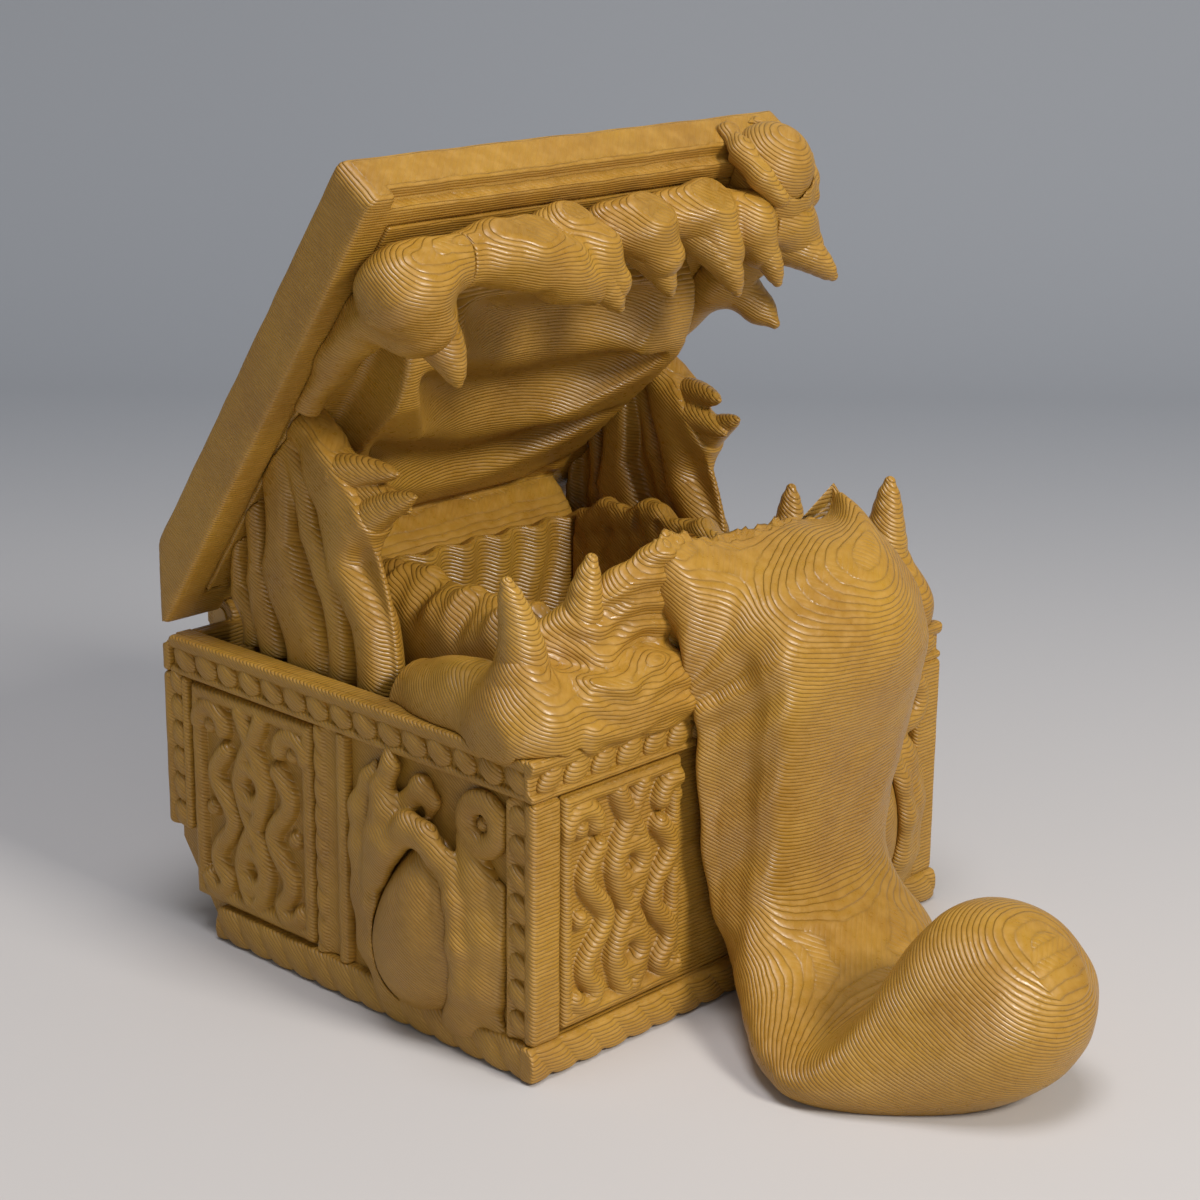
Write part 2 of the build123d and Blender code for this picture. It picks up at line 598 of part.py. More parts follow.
def slab(s, off, x):
    """A box from (low, high) pairs along the lid, over its rim and across."""
    return block(x, (-s[1], -s[0]), off)


def lid_shell():
    """A shallow tray whose rear end is mitred, so that it stands flush with the chest's back."""
    mitre = LID_THICK / math.tan(math.radians(90 - LID_ANGLE))
    outline = [(0, 0), (LID_LENGTH, 0), (LID_LENGTH, LID_THICK), (mitre, LID_THICK)]
    shell = along_lid(outline, (-HALF_W, HALF_W))
    shell -= slab((TRAY_START, TRAY_END), (-FAR, TRAY), (-TRAY_HALF, TRAY_HALF))
    for x in ((LID_RIM - HALF_W, -STRAP_WIDTH / 2), (STRAP_WIDTH / 2, HALF_W - LID_RIM)):
        shell -= slab((mitre + LID_RIM, TRAY_END), (LID_THICK - LID_PANEL_CUT, FAR), x)
    shell = LID_POSE * shell - hinge_rod(HINGE_CLEAR, (-FAR, FAR))
    pieces["lid_shell"] = one(with_knuckles(shell, 1))


def palate_depth(s):
    """Depth of the vault below the lid's rim, at a distance along the lid."""
    share = (s - PALATE_START) / (PALATE_END - PALATE_START)
    return PALATE_SHALLOW + share * (PALATE_DEEP - PALATE_SHALLOW)


def arch(s, proud):
    """An arched opening in a wall that hangs from the roof of the mouth."""
    half = POCKET_INNER - HINGE_CLEAR
    depth = palate_depth(s)
    wall = Pos(0, (TRAY - depth) / 2) * Rectangle(2 * half, TRAY + depth)
    gap = Pos(0, -depth) * Ellipse(half - PALATE_WALL - proud, depth - proud / 2)
    return Plane(origin=(0, -s, 0), x_dir=(1, 0, 0), z_dir=(0, -1, 0)) * (wall - gap)


def palate():
    """Roof of the mouth: a plate in the tray, a vault, its ridges and the throat skirt."""
    half = TRAY_HALF - SEAM
    roof = slab((TRAY_START + SEAM, TRAY_END - SEAM), (0, TRAY), (-half, half))
    roof += loft([arch(PALATE_START, 0), arch(PALATE_END, 0)], ruled=True)
    pitch = (PALATE_END - PALATE_START) / (RUGA_COUNT + 1)
    for i in range(RUGA_COUNT):
        roof += extrude(arch(PALATE_START + (i + 1) * pitch, RUGA_PROUD), RUGA_WIDTH)
    wide = 2 * (POCKET_INNER - HINGE_CLEAR)
    section = Pos(0, -SKIRT_OUTER + SKIRT_WALL / 2) * Rectangle(wide, SKIRT_WALL)
    roof += revolve(section, Axis.X, SKIRT_SWEEP)
    pieces["palate"] = one(LID_POSE * roof)


# ---------------------------------------------------------------- cheeks
def pleats():
    """Section through a cheek, across and away from the hinge: pleats that thicken outwards."""
    middle = -(CHEEK_X0 + CHEEK_X1) / 2
    pitch = (CHEEK_OUTER - CHEEK_INNER) / PLEATS
    left = []
    right = []
    for i in range(PLEATS):
        start = -CHEEK_INNER - i * pitch
        half = CHEEK_WIDE / 4 * (1 + i / (PLEATS - 1))
        left += [(middle - PLEAT_WEB / 2, start), (middle - half, start - pitch / 3)]
        left += [(middle - half, start - 2 * pitch / 3)]
        right += [(middle + PLEAT_WEB / 2, start), (middle + half, start - pitch / 2)]
    ends = [(middle - PLEAT_WEB / 2, -CHEEK_OUTER), (middle + PLEAT_WEB / 2, -CHEEK_OUTER)]
    return make_face(Polyline(*left, *ends, *reversed(right), close=True))


def cheeks():
    """Pleated cheeks: folds that run in arcs about the hinge, so they slide down their pockets."""
    leaf = LID_POSE * revolve(pleats(), Axis.X, LID_ANGLE + CHEEK_TUCK)
    for side in ("left", "right"):
        leaf_here = leaf if side == "left" else mirror(leaf, about=Plane.YZ)
        turn = -1 if side == "left" else 1
        teeth = Part()
        for angle, x, radius, length in CHEEK_TEETH:
            lean = Rot(angle, 0, 0) * Pos(0, -CHEEK_OUTER + SOCKET_DEPTH, 0)
            place = (LID_POSE * lean).position
            x_here = turn * x
            away = Vector(0, place.Y - HINGE[1], place.Z - HINGE[2])
            aim = away.normalized() + Vector(-turn * CHEEK_TOOTH_LEAN[0], 0, -CHEEK_TOOTH_LEAN[1])
            plane = Plane(origin=(x_here, place.Y, place.Z), z_dir=aim)
            teeth += fang(plane, radius, length)
            leaf_here -= socket(plane, radius)
        pieces[side + "_cheek"] = one(leaf_here)
        pieces[side + "_cheek_teeth"] = teeth


# ---------------------------------------------------------------- upper gums and lid eye
def boss(place, radius):
    """A many-sided ball."""
    profile = []
    for angle in (-80, -45, -15, 15, 45, 80):
        turn = math.radians(angle)
        profile.append((radius * math.cos(turn), radius * math.sin(turn)))
    return turned(Plane(origin=place), profile, GUM_SIDES)


def upper_gums():
    """Lumpy gums under the lid, flat against the roof of the mouth, with the fangs' sockets."""
    side_x = TRAY_HALF - UPPER_GUM_INSET
    line = TRAY_END - UPPER_GUM_INSET
    front = bar((-side_x, -line, -UPPER_GUM_DROP), (side_x, -line, -UPPER_GUM_DROP), UPPER_GUM_RADIUS)
    for x, inset, off, lean_x, lean_y, *_ in UPPER_FANGS[1:-1]:
        aim = (lean_x / 2, lean_y / 2, -1)
        foot = (x, inset - LID_LENGTH, off + 2 * UPPER_GUM_DROP)
        front += mound(foot, aim, UPPER_LUMP, 2 * UPPER_LUMP)
    middle = slab((-FAR, FAR), (-FAR, FAR), (-GUM_SPLIT["left"], GUM_SPLIT["right"]))
    gums = {"front": front & middle}
    vault = POCKET_INNER - HINGE_CLEAR + SEAM
    inside = slab((-FAR, FAR), (-FAR, FAR), (-GUM_SPLIT["left"] - SEAM, GUM_SPLIT["right"] + SEAM))
    inside += slab((-FAR, PALATE_END + SEAM), (-FAR, FAR), (-vault, vault))
    inside += slab((-FAR, CHEEK_OUTER + HINGE_CLEAR), (-FAR, FAR), (-FAR, FAR))
    for side, turn, row in (("left", -1, UPPER_FANGS[0]), ("right", 1, UPPER_FANGS[-1])):
        x, inset, off, *_ = row
        x_bar = turn * side_x
        flesh = bar((x_bar, -line, -UPPER_GUM_DROP), (x_bar, -CHEEK_OUTER, -UPPER_GUM_DROP), UPPER_GUM_RADIUS)
        flesh += mound((x, inset - LID_LENGTH, 0), (0, 1 / 4, -1), CORNER_LUMP, UPPER_GUM_DROP - off)
        gums[side] = flesh - inside
    mouth = slab((TRAY_START, TRAY_END), (-FAR, 0), (-HALF_W, HALF_W))
    owners = ["left"] + ["front"] * (len(UPPER_FANGS) - 2) + ["right"]
    for side in gums:
        gums[side] = gums[side] & mouth
    for number, (side, row) in enumerate(zip(owners, UPPER_FANGS), start=1):
        x, inset, off, lean_x, lean_y, radius, length = row
        name = "upper_fang_" + str(number)
        root = (x, inset - LID_LENGTH, off)
        gums[side] = seat(gums[side], name, root, (lean_x, lean_y, -1), radius, length)
        pieces[name] = LID_POSE * pieces[name]
    for side, gum in gums.items():
        gum -= boss(LID_EYE_PLACE, LID_EYE_RADIUS + LID_EYELID + SEAM)
        pieces["upper_" + side + "_gum"] = one(LID_POSE * gum)


def lid_eye():
    """A ball on the lid's front corner, hooded by lids that leave it open ahead and below."""
    place = LID_EYE_PLACE
    shell = slab((-FAR, LID_LENGTH), (0, FAR), (-HALF_W, HALF_W))
    hood = boss(place, LID_EYE_RADIUS + LID_EYELID) - boss(place, LID_EYE_RADIUS + SOCKET_CLEAR)
    opening = block((-FAR, FAR), (-FAR, FAR), (-FAR, -LID_EYELID))
    tip, aside = LID_EYE_TURN
    pieces["lid_eye"] = one(LID_POSE * (boss(place, LID_EYE_RADIUS) - shell))
    pieces["lid_eyelids"] = one(LID_POSE * (hood - shell - Pos(*place) * Rot(tip, 0, aside) * opening))


def main():
    walls()
    plinths()
    rails()
    posts()
    straps()
    panels()
    eyes()
    well_and_throat()
    tongue()
    lower_gums()
    hinge_pin()
    lid_shell()
    palate()
    cheeks()
    upper_gums()
    lid_eye()
    os.makedirs(OUT, exist_ok=True)
    for name, shape in pieces.items():
        export_step(shape, os.path.join(OUT, name + ".step"))


main()
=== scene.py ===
import json
import math

import bpy
import numpy as np
import openvdb
from mathutils import Matrix, Vector


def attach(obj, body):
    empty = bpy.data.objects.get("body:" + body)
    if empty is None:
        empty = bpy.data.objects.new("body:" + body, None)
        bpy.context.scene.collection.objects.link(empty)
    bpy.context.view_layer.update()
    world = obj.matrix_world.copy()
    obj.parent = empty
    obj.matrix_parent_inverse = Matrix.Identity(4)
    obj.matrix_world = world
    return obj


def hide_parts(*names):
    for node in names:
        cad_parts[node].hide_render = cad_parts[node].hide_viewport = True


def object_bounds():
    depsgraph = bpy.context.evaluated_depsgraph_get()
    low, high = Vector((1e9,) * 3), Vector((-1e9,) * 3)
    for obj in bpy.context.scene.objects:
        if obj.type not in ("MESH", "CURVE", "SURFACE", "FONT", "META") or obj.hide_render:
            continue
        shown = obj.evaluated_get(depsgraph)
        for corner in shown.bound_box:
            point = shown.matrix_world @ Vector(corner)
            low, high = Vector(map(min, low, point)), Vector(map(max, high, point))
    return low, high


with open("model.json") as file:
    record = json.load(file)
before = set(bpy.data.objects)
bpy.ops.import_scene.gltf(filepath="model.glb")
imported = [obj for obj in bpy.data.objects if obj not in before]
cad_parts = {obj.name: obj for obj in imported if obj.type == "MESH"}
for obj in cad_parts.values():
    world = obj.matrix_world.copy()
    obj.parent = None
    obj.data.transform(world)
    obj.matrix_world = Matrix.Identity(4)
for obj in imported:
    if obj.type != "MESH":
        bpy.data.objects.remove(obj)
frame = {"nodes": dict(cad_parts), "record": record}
cad_box = [list(corner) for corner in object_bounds()]


# ------------------------------------------------------------------ the filament
# Ochre PLA from a 0.4 mm nozzle, laid down with the open lid upright, so the layers lie
# square to the lid: rounded beads on steep walls, terraces where a surface turns towards the
# nozzle, criss-cross lines on the last layer of one that faces it.
LAYER = 0.25            # mm, one printed layer
LINE = 0.45             # mm, one line of a surface that faces the nozzle
BEAD_DEPTH = 0.042      # mm, how far the valley between two beads lies below their crowns
TERRACE = 0.24          # of a layer, the height of a terrace's step
TERRACE_RISE = 0.16     # of a terrace's width, that its step takes up
CROSS_DEPTH = 0.035     # mm, of the criss-cross lines
WANDER = 0.16           # mm, how far the nozzle strays off its layer
GRAIN = 0.02            # mm, unevenness finer than a bead
PAINTED_VALLEY_SHADE = 0.27     # share of painted shade mixed into the valleys between beads
FACES_NOZZLE = (0.955, 0.99)        # cosines between which beads give way to criss-cross lines
LID_OPEN = math.radians(54.7)
NOZZLE = Vector((0, -math.cos(LID_OPEN), math.sin(LID_OPEN)))       # from the bed to the nozzle
BED = Vector((0, math.sin(LID_OPEN), math.cos(LID_OPEN)))           # along a layer, square to X
OCHRE = "AF842F"
OCHRE_DEEP = "9C7128"
OCHRE_PALE = "C4984A"


def linear(code):
    """An sRGB hex colour as linear red, green, blue and alpha."""
    shades = [int(code[i:i + 2], 16) / 255 for i in (0, 2, 4)]
    return [c / 12.92 if c <= 0.04045 else ((c + 0.055) / 1.055) ** 2.4 for c in shades] + [1.0]


def add_node(tree, kind, *inputs, **settings):
    """Add a node.  Its live sockets are fed in order by the inputs and by name by the settings,
    from values, from sockets, or from nodes, which give their first live output; a setting
    that is a property of the node is set first."""
    node = tree.nodes.new(kind)
    for name, value in settings.items():
        if hasattr(node, name):
            setattr(node, name, value)
    live = [socket for socket in node.inputs if socket.enabled]
    by_name = {socket.name: socket for socket in live}
    fed = list(zip(live, inputs))
    for name, value in settings.items():
        if not hasattr(node, name):
            fed.append((by_name[name.replace("_", " ")], value))
    for socket, value in fed:
        if isinstance(value, bpy.types.Node):
            value = next(output for output in value.outputs if output.enabled)
        if isinstance(value, bpy.types.NodeSocket):
            tree.links.new(value, socket)
        elif value is not None:
            socket.default_value = value
    return node


def print_material(name, base, deep, pale, rough, bead_depth=BEAD_DEPTH):
    """Layered filament, worked out from Object coordinates in millimetres, with painted shade darkening
    the valleys between beads.
    """
    material = bpy.data.materials.new(name)
    material.use_nodes = True
    tree = material.node_tree
    tree.nodes.clear()
    MATH, VECTOR, NOISE = "ShaderNodeMath", "ShaderNodeVectorMath", "ShaderNodeTexNoise"
    where = add_node(tree, "ShaderNodeTexCoord").outputs
    mm = add_node(tree, VECTOR, where["Object"], 1000.0, operation="SCALE")
    facing = add_node(tree, VECTOR, where["Normal"], NOZZLE, operation="DOT_PRODUCT")
    wander = add_node(tree, NOISE, mm, Scale=0.5, Detail=2.0)
    above = add_node(tree, VECTOR, mm, NOZZLE, operation="DOT_PRODUCT")
    height = add_node(tree, MATH, wander, WANDER, above, operation="MULTIPLY_ADD")
    layer = add_node(tree, MATH, height, LAYER, operation="DIVIDE")
    share = add_node(tree, MATH, layer, operation="FRACT")
    number = add_node(tree, MATH, layer, operation="FLOOR")
    across = add_node(tree, MATH, share, 2.0, -1.0, operation="MULTIPLY_ADD")
    square = add_node(tree, MATH, across, across, operation="MULTIPLY")
    fourth = add_node(tree, MATH, square, square, operation="MULTIPLY")
    # a terrace falls away slowly and ends in a short rise
    fall = add_node(tree, MATH, 1.0, share, operation="SUBTRACT")
    rise = add_node(tree, MATH, share, TERRACE_RISE, operation="DIVIDE")
    terrace = add_node(tree, MATH, fall, rise, operation="MINIMUM")
    # criss-cross lines, turned over from one layer to the next
    turn = add_node(tree, MATH, number, 2.0, operation="MODULO")
    hand = add_node(tree, MATH, turn, 2.0, -1.0, operation="MULTIPLY_ADD")
    ahead = add_node(tree, VECTOR, mm, BED, operation="DOT_PRODUCT")
    aside = add_node(tree, "ShaderNodeSeparateXYZ", mm).outputs[0]
    slant = add_node(tree, MATH, ahead, hand, aside, operation="MULTIPLY_ADD")
    count = add_node(tree, MATH, slant, LINE * math.sqrt(2), operation="DIVIDE")
    line = add_node(tree, MATH, count, operation="FRACT")
    line_across = add_node(tree, MATH, line, 2.0, -1.0, operation="MULTIPLY_ADD")
    line_square = add_node(tree, MATH, line_across, line_across, operation="MULTIPLY")
    level = add_node(tree, "ShaderNodeMapRange", facing, *FACES_NOZZLE)
    # streaks of gloss and shade run along each bead and are new in each layer
    seed = add_node(tree, "ShaderNodeCombineXYZ", number, number)
    along = add_node(tree, VECTOR, seed, (7.3, 3.1, 0.0), mm, operation="MULTIPLY_ADD")
    streaks = add_node(tree, NOISE, along, Scale=0.9, Detail=3.0, Roughness=0.6)
    cloud = add_node(tree, NOISE, mm, Scale=0.14, Detail=3.0)
    grain = add_node(tree, NOISE, mm, Scale=3.0, Detail=2.0)
    toned = add_node(tree, "ShaderNodeMapRange", cloud, 0.30, 0.70)
    tone = add_node(tree, "ShaderNodeMix", toned, linear(deep), linear(base), data_type="RGBA")
    lighter = add_node(tree, MATH, streaks, 1.1, -0.45, operation="MULTIPLY_ADD", use_clamp=True)
    streaked = add_node(tree, "ShaderNodeMix", lighter, tone, linear(pale), data_type="RGBA")
    # painted shade: the colour darkens in the valleys between beads, standing in for the shade that
    # falls there
    painted_valley_shade = add_node(tree, MATH, fourth, PAINTED_VALLEY_SHADE, operation="MULTIPLY")
    painted_shade_colour = [0.45 * c for c in linear(deep)[:3]] + [1.0]
    colour = add_node(tree, "ShaderNodeMix", painted_valley_shade, streaked, painted_shade_colour, data_type="RGBA")
    gloss = add_node(tree, "ShaderNodeMapRange", streaks, 0.3, 0.7, rough - 0.08, rough + 0.12)
    bead = add_node(tree, MATH, square, -bead_depth, operation="MULTIPLY")
    tilt = add_node(tree, MATH, facing, LAYER * TERRACE, operation="MULTIPLY", use_clamp=True)
    step = add_node(tree, MATH, terrace, tilt, bead, operation="MULTIPLY_ADD")
    flat = add_node(tree, MATH, line_square, -CROSS_DEPTH, operation="MULTIPLY")
    surface = add_node(tree, "ShaderNodeMix", level, step, flat)
    relief = add_node(tree, MATH, grain, GRAIN, surface, operation="MULTIPLY_ADD")
    bump = add_node(tree, "ShaderNodeBump", Strength=1.0, Distance=0.001, Height=relief)
    shader = add_node(tree, "ShaderNodeBsdfPrincipled", Base_Color=colour, Roughness=gloss, Normal=bump,
                      IOR=1.47, Specular_IOR_Level=0.55, Subsurface_Weight=0.05,
                      Subsurface_Radius=(0.9, 0.5, 0.2), Subsurface_Scale=0.0006)
    add_node(tree, "ShaderNodeOutputMaterial", shader)
    return material


# The boards print satin and the small fleshy forms glossier; the pin is filament as it comes
# off the reel, without layers.
chest_pla = print_material("layered_pla_chest", OCHRE, OCHRE_DEEP, OCHRE_PALE, 0.40)
flesh_pla = print_material("layered_pla_flesh", OCHRE, OCHRE_DEEP, OCHRE_PALE, 0.32)
fang_pla = print_material("layered_pla_fang", "B48A38", OCHRE_DEEP, OCHRE_PALE, 0.31)
pin_pla = print_material("cut_filament", OCHRE, OCHRE, OCHRE_PALE, 0.30, bead_depth=0.004)
PRINTS = {"chest_print": chest_pla, "flesh_print": flesh_pla, "fang_print": fang_pla,
          "pin_filament": pin_pla}


# ------------------------------------------------------------------ walls, floor and heel
# Flat boards printed as one shell with everything on them; they stay as the solids have
# them.  Each outer face has its own axes here: u to the right along it, v up, w out of it.
FACE_X = 23.1           # mm, from the middle of the chest to the face of a side wall
FACE_Y = 20.6           # and of the front and rear walls
HALF_W = 24.0           # outside of the mouldings
HALF_D = 21.5
TOP = 25.0              # top of the rails
RAIL_BASE = 21.8        # foot of the rails
PLINTH = 2.8            # top of the plinths
HEEL = 8.5              # top of the sloped heel
POST = 3.0              # width of a post

slot_of = {row["node"]: row["material_slot"] for row in frame["record"]["subparts"]}
body_of = {}
for body, nodes in frame["record"]["behaviour"]["bodies"].items():
    for node in nodes:
        body_of[node] = body
for node, part in frame["nodes"].items():
    part.data.materials.clear()
    part.data.materials.append(PRINTS[slot_of[node]])


def on_front(p):
    return np.stack([p[:, 0], -FACE_Y - p[:, 2], p[:, 1]], axis=1)


def on_left(p):
    return np.stack([-FACE_X - p[:, 2], -p[:, 0], p[:, 1]], axis=1)


def on_rear(p):
    return np.stack([-p[:, 0], FACE_Y + p[:, 2], p[:, 1]], axis=1)


# ------------------------------------------------------------------ plinths
# A fat roll round the foot, printed with the walls and twisted like rope: its turns show as
# scallops along the table.
ROPE_TURN = 2.75        # mm, one turn of the rope
MARGIN = 0.002          # mm, between a piece and the box of the solids


class Clay:
    """A grid of distances to a surface, in millimetres, that forms are blended into and
    pressed out of.  The visible pieces are sculpted in it."""
    def __init__(self, low, high, step):
        axes = [np.arange(a, b + step, step, dtype=np.float32) for a, b in zip(low, high)]
        self.low = np.array(low, dtype=np.float32)
        self.step = step
        self.x, self.y, self.z = np.meshgrid(*axes, indexing="ij", sparse=True)
        self.d = np.full([len(a) for a in axes], 9.0, dtype=np.float32)

    def add(self, other, soft=0.0):
        self.d = blend(self.d, other, soft)

    def press(self, other, soft=0.0):
        self.d = -blend(-self.d, other, soft)

    def keep(self, other, soft=0.0):
        self.d = -blend(-self.d, -other, soft)

    def lump(self, middle, radius, soft, stretch=(1, 1, 1)):
        self.add(lump(self, middle, radius, stretch), soft)

    def limbs(self, points, soft, join=0.6):
        self.add(chain(self, points, join), soft)

    def waver(self, amount, size, seed):
        """Leave the surface a little uneven, as a nozzle does."""
        self.d = self.d + amount * ripple(self.x, self.y, self.z, size, seed)


def blend(a, b, soft):
    """The nearer of two surfaces, with a fillet of about soft millimetres where they meet."""
    near = np.minimum(a, b)
    if soft <= 0:
        return near
    meet = np.maximum(soft - np.abs(a - b), 0) / soft
    return near - meet * meet * soft / 4


def brick(clay, low, high, round_by=0.0):
    """A box, sharp or with rounded edges."""
    gaps = []
    for axis, a, b in zip((clay.x, clay.y, clay.z), low, high):
        gaps.append(np.maximum(a - axis, axis - b) + round_by)
    outside = np.sqrt(sum(np.maximum(gap, 0) ** 2 for gap in gaps))
    inside = np.minimum(np.maximum(np.maximum(gaps[0], gaps[1]), gaps[2]), 0)
    return outside + inside - round_by


def ripple(x, y, z, size, seed):
    """Gentle unevenness between -1 and 1 whose swells are about size millimetres long."""
    draw = np.random.default_rng(seed)
    total = 0
    for _ in range(5):
        aim = draw.normal(size=3)
        aim *= 2 * math.pi / (size * draw.uniform(0.7, 1.5) * np.linalg.norm(aim))
        total = total + np.sin(x * aim[0] + y * aim[1] + z * aim[2] + draw.uniform(0, 6.28))
    return total / 3


def ridge(distance, width, height):
    """Height of a rounded strand at a distance from its middle line."""
    return height * np.sqrt(np.clip(1 - (distance / width) ** 2, 0, 1))


def slat(u0, u1, v0, v1, height, seed, step=0.13):
    """A moulding on a wall, whose height over the wall follows a rule of (u, v)."""
    clay = Clay((u0 - 0.6, v0 - 0.6, -0.6), (u1 + 0.6, v1 + 0.6, 1.9), step)
    clay.d = (clay.z - height(clay)) * 0.8
    clay.waver(0.02, 2.5, seed)
    clay.keep(brick(clay, (u0, v0, -0.2), (u1, v1, 9), 0.3), 0.2)
    return clay


def make_mesh(name, points, faces):
    """A smooth mesh from millimetre points, held inside the box of the solids, and triangles or
    quads."""
    mesh = bpy.data.meshes.new(name)
    points = np.clip(points, 1000 * np.array(cad_box[0]) + MARGIN, 1000 * np.array(cad_box[1]) - MARGIN)
    count = faces.shape[1]
    mesh.vertices.add(len(points))
    mesh.vertices.foreach_set("co", (np.asarray(points, dtype=np.float32) / 1000).ravel())
    mesh.loops.add(len(faces) * count)
    mesh.loops.foreach_set("vertex_index", faces.astype(np.int32).ravel())
    mesh.polygons.add(len(faces))
    mesh.polygons.foreach_set("loop_start", np.arange(0, len(faces) * count, count, dtype=np.int32))
    mesh.polygons.foreach_set("use_smooth", np.ones(len(faces), dtype=bool))
    mesh.update(calc_edges=True)
    return mesh


def shown(name, mesh, body, slot, *nodes):
    """Stand a finished mesh in the scene: it rides on its body and stands for its nodes."""
    piece = bpy.data.objects.new(name, mesh)
    bpy.context.scene.collection.objects.link(piece)
    mesh.materials.clear()
    mesh.materials.append(PRINTS[slot])
    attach(piece, body)
    if nodes:
        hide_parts(*nodes)
    return piece


def cast(node, clay, place=None, flip=False):
    """Turn clay into the visible piece of one node, set in place and mirrored if need be."""
    grid = openvdb.FloatGrid()
    grid.background = 1.0
    grid.copyFromArray(np.ascontiguousarray(np.clip(clay.d, -1, 1), dtype=np.float32))
    points, quads = grid.convertToQuads(0.0)
    points = clay.low + points * clay.step
    if place is not None:
        points = place(points)
    if flip:
        points = points * np.array((-1, 1, 1), dtype=np.float32)
        quads = quads[:, ::-1]
    mesh = make_mesh(node + "_form", points, quads)
    return shown(node + "_form", mesh, body_of[node], slot_of[node], node)


def left_and_right(name, clay, place=None):
    cast("left_" + name, clay, place)
    cast("right_" + name, clay, place, flip=True)


def plinth_height(clay):
    turn = np.abs(np.sin(math.pi * (clay.x + 0.7 * clay.y) / ROPE_TURN))
    return 0.45 + ridge(clay.y - 1.25, 1.75, 0.82) * (0.72 + 0.28 * np.sqrt(turn))


def scalloped(u0, u1, seed):
    clay = slat(u0, u1, 0, PLINTH, plinth_height, seed)
    under = 0.42 * (1 - np.sqrt(np.abs(np.sin(math.pi * clay.x / ROPE_TURN))))
    clay.keep(under - clay.y + 0 * clay.z, 0.25)
    return clay


cast("front_plinth", scalloped(-HALF_W - 0.4, HALF_W + 0.4, 21), on_front)
left_and_right("plinth", scalloped(-15.3, FACE_Y + 0.4, 22), on_left)


# ------------------------------------------------------------------ rails
# Mouldings along the top edge, printed with the walls: a plain band, a trough for a rope of
# slanted beads, and a lip at the foot that throws a shadow on the wall.
def rail_height(clay):
    v = clay.y - RAIL_BASE
    return 0.38 + ridge(v - 2.75, 0.72, 0.52) + ridge(v - 0.28, 0.42, 0.46)


cast("front_rail", slat(-HALF_W, HALF_W, RAIL_BASE, TOP, rail_height, 11), on_front)
left_and_right("rail", slat(-FACE_Y, FACE_Y, RAIL_BASE, TOP, rail_height, 12), on_left)


# ------------------------------------------------------------------ posts
# Angle-section corners, printed with the walls: a plain rounded band on the front, and down
# the side next to it a trough for a rope.
POST_ROPE = -HALF_D + 1.75          # where the trough runs
FAR = 99                            # mm, past the end of any piece


def limb(clay, start, end, thick, thin):
    """A round limb that tapers from thick to thin."""
    run = [b - a for a, b in zip(start, end)]
    x, y, z = clay.x - start[0], clay.y - start[1], clay.z - start[2]
    share = np.clip((x * run[0] + y * run[1] + z * run[2]) / sum(r * r for r in run), 0, 1)
    away = np.sqrt((x - share * run[0]) ** 2 + (y - share * run[1]) ** 2 + (z - share * run[2]) ** 2)
    return away - (thick + share * (thin - thick))


def post(y, z, trough, seed, step):
    """A post of the left side, from its own y and foot up to the rail."""
    low, high = (-HALF_W, y, z), (-HALF_W + POST, y + POST, RAIL_BASE)
    clay = Clay([a - 0.5 for a in low], [b + 0.5 for b in high], step)
    clay.d = brick(clay, low, high, 0.45)
    bottom, top = (-HALF_W - 0.45, trough, 0), (-HALF_W - 0.45, trough, FAR)
    clay.press(limb(clay, bottom, top, 0.95, 0.95), 0.25)
    clay.press(brick(clay, (-FACE_X, -FACE_Y, -9), (FAR, FACE_Y, FAR)))
    clay.waver(0.02, 2.5, seed)
    return clay


left_and_right("front_post", post(-HALF_D, PLINTH, POST_ROPE, 31, 0.12))


# ------------------------------------------------------------------ straps
# A flat band up each side wall, printed with it, between a rope edge and a plain rib.
# It is hollowed a little along its middle.
def strap_height(clay):
    u = clay.x + 1.0
    turn = np.abs(np.sin(math.pi * (clay.y + 0.9 * u) / 2.3))
    rope_side = ridge(u + 1.35, 0.62, 0.50) * (0.35 + 0.65 * np.sqrt(turn))
    return 0.34 + rope_side + ridge(u - 1.35, 0.62, 0.55) - ridge(u, 0.5, 0.14)


left_and_right("strap", slat(-3.0, 1.0, PLINTH, RAIL_BASE, strap_height, 23), on_left)


# ------------------------------------------------------------------ ropes
# Slanted beads printed in the troughs of the rails and posts.  One tree of nodes lays every
# rope: a bead on each point of a line, no two the same size.
def bead_tree():
    tree = bpy.data.node_groups.new("rope_of_beads", "GeometryNodeTree")
    sockets = [("Count", "NodeSocketInt"), ("Start", "NodeSocketVector"), ("Step", "NodeSocketVector"),
               ("Turn", "NodeSocketVector"), ("Size", "NodeSocketVector"), ("Seed", "NodeSocketInt"),
               ("Material", "NodeSocketMaterial")]
    for name, kind in sockets:
        tree.interface.new_socket(name, in_out="INPUT", socket_type=kind)
    tree.interface.new_socket("Geometry", in_out="OUTPUT", socket_type="NodeSocketGeometry")
    given = add_node(tree, "NodeGroupInput").outputs
    line = add_node(tree, "GeometryNodeMeshLine", given["Count"], given["Start"], given["Step"])
    bead = add_node(tree, "GeometryNodeMeshIcoSphere", 1.0, 4)
    small = add_node(tree, "ShaderNodeVectorMath", given["Size"], 0.88, operation="SCALE")
    large = add_node(tree, "ShaderNodeVectorMath", given["Size"], 1.08, operation="SCALE")
    size = add_node(tree, "FunctionNodeRandomValue", small, large, Seed=given["Seed"],
                    data_type="FLOAT_VECTOR")
    laid = add_node(tree, "GeometryNodeInstanceOnPoints", line, Instance=bead,
                    Rotation=given["Turn"], Scale=size)
    real = add_node(tree, "GeometryNodeRealizeInstances", laid)
    smooth = add_node(tree, "GeometryNodeSetShadeSmooth", real)
    dyed = add_node(tree, "GeometryNodeSetMaterial", smooth, Material=given["Material"])
    add_node(tree, "NodeGroupOutput", dyed)
    return tree


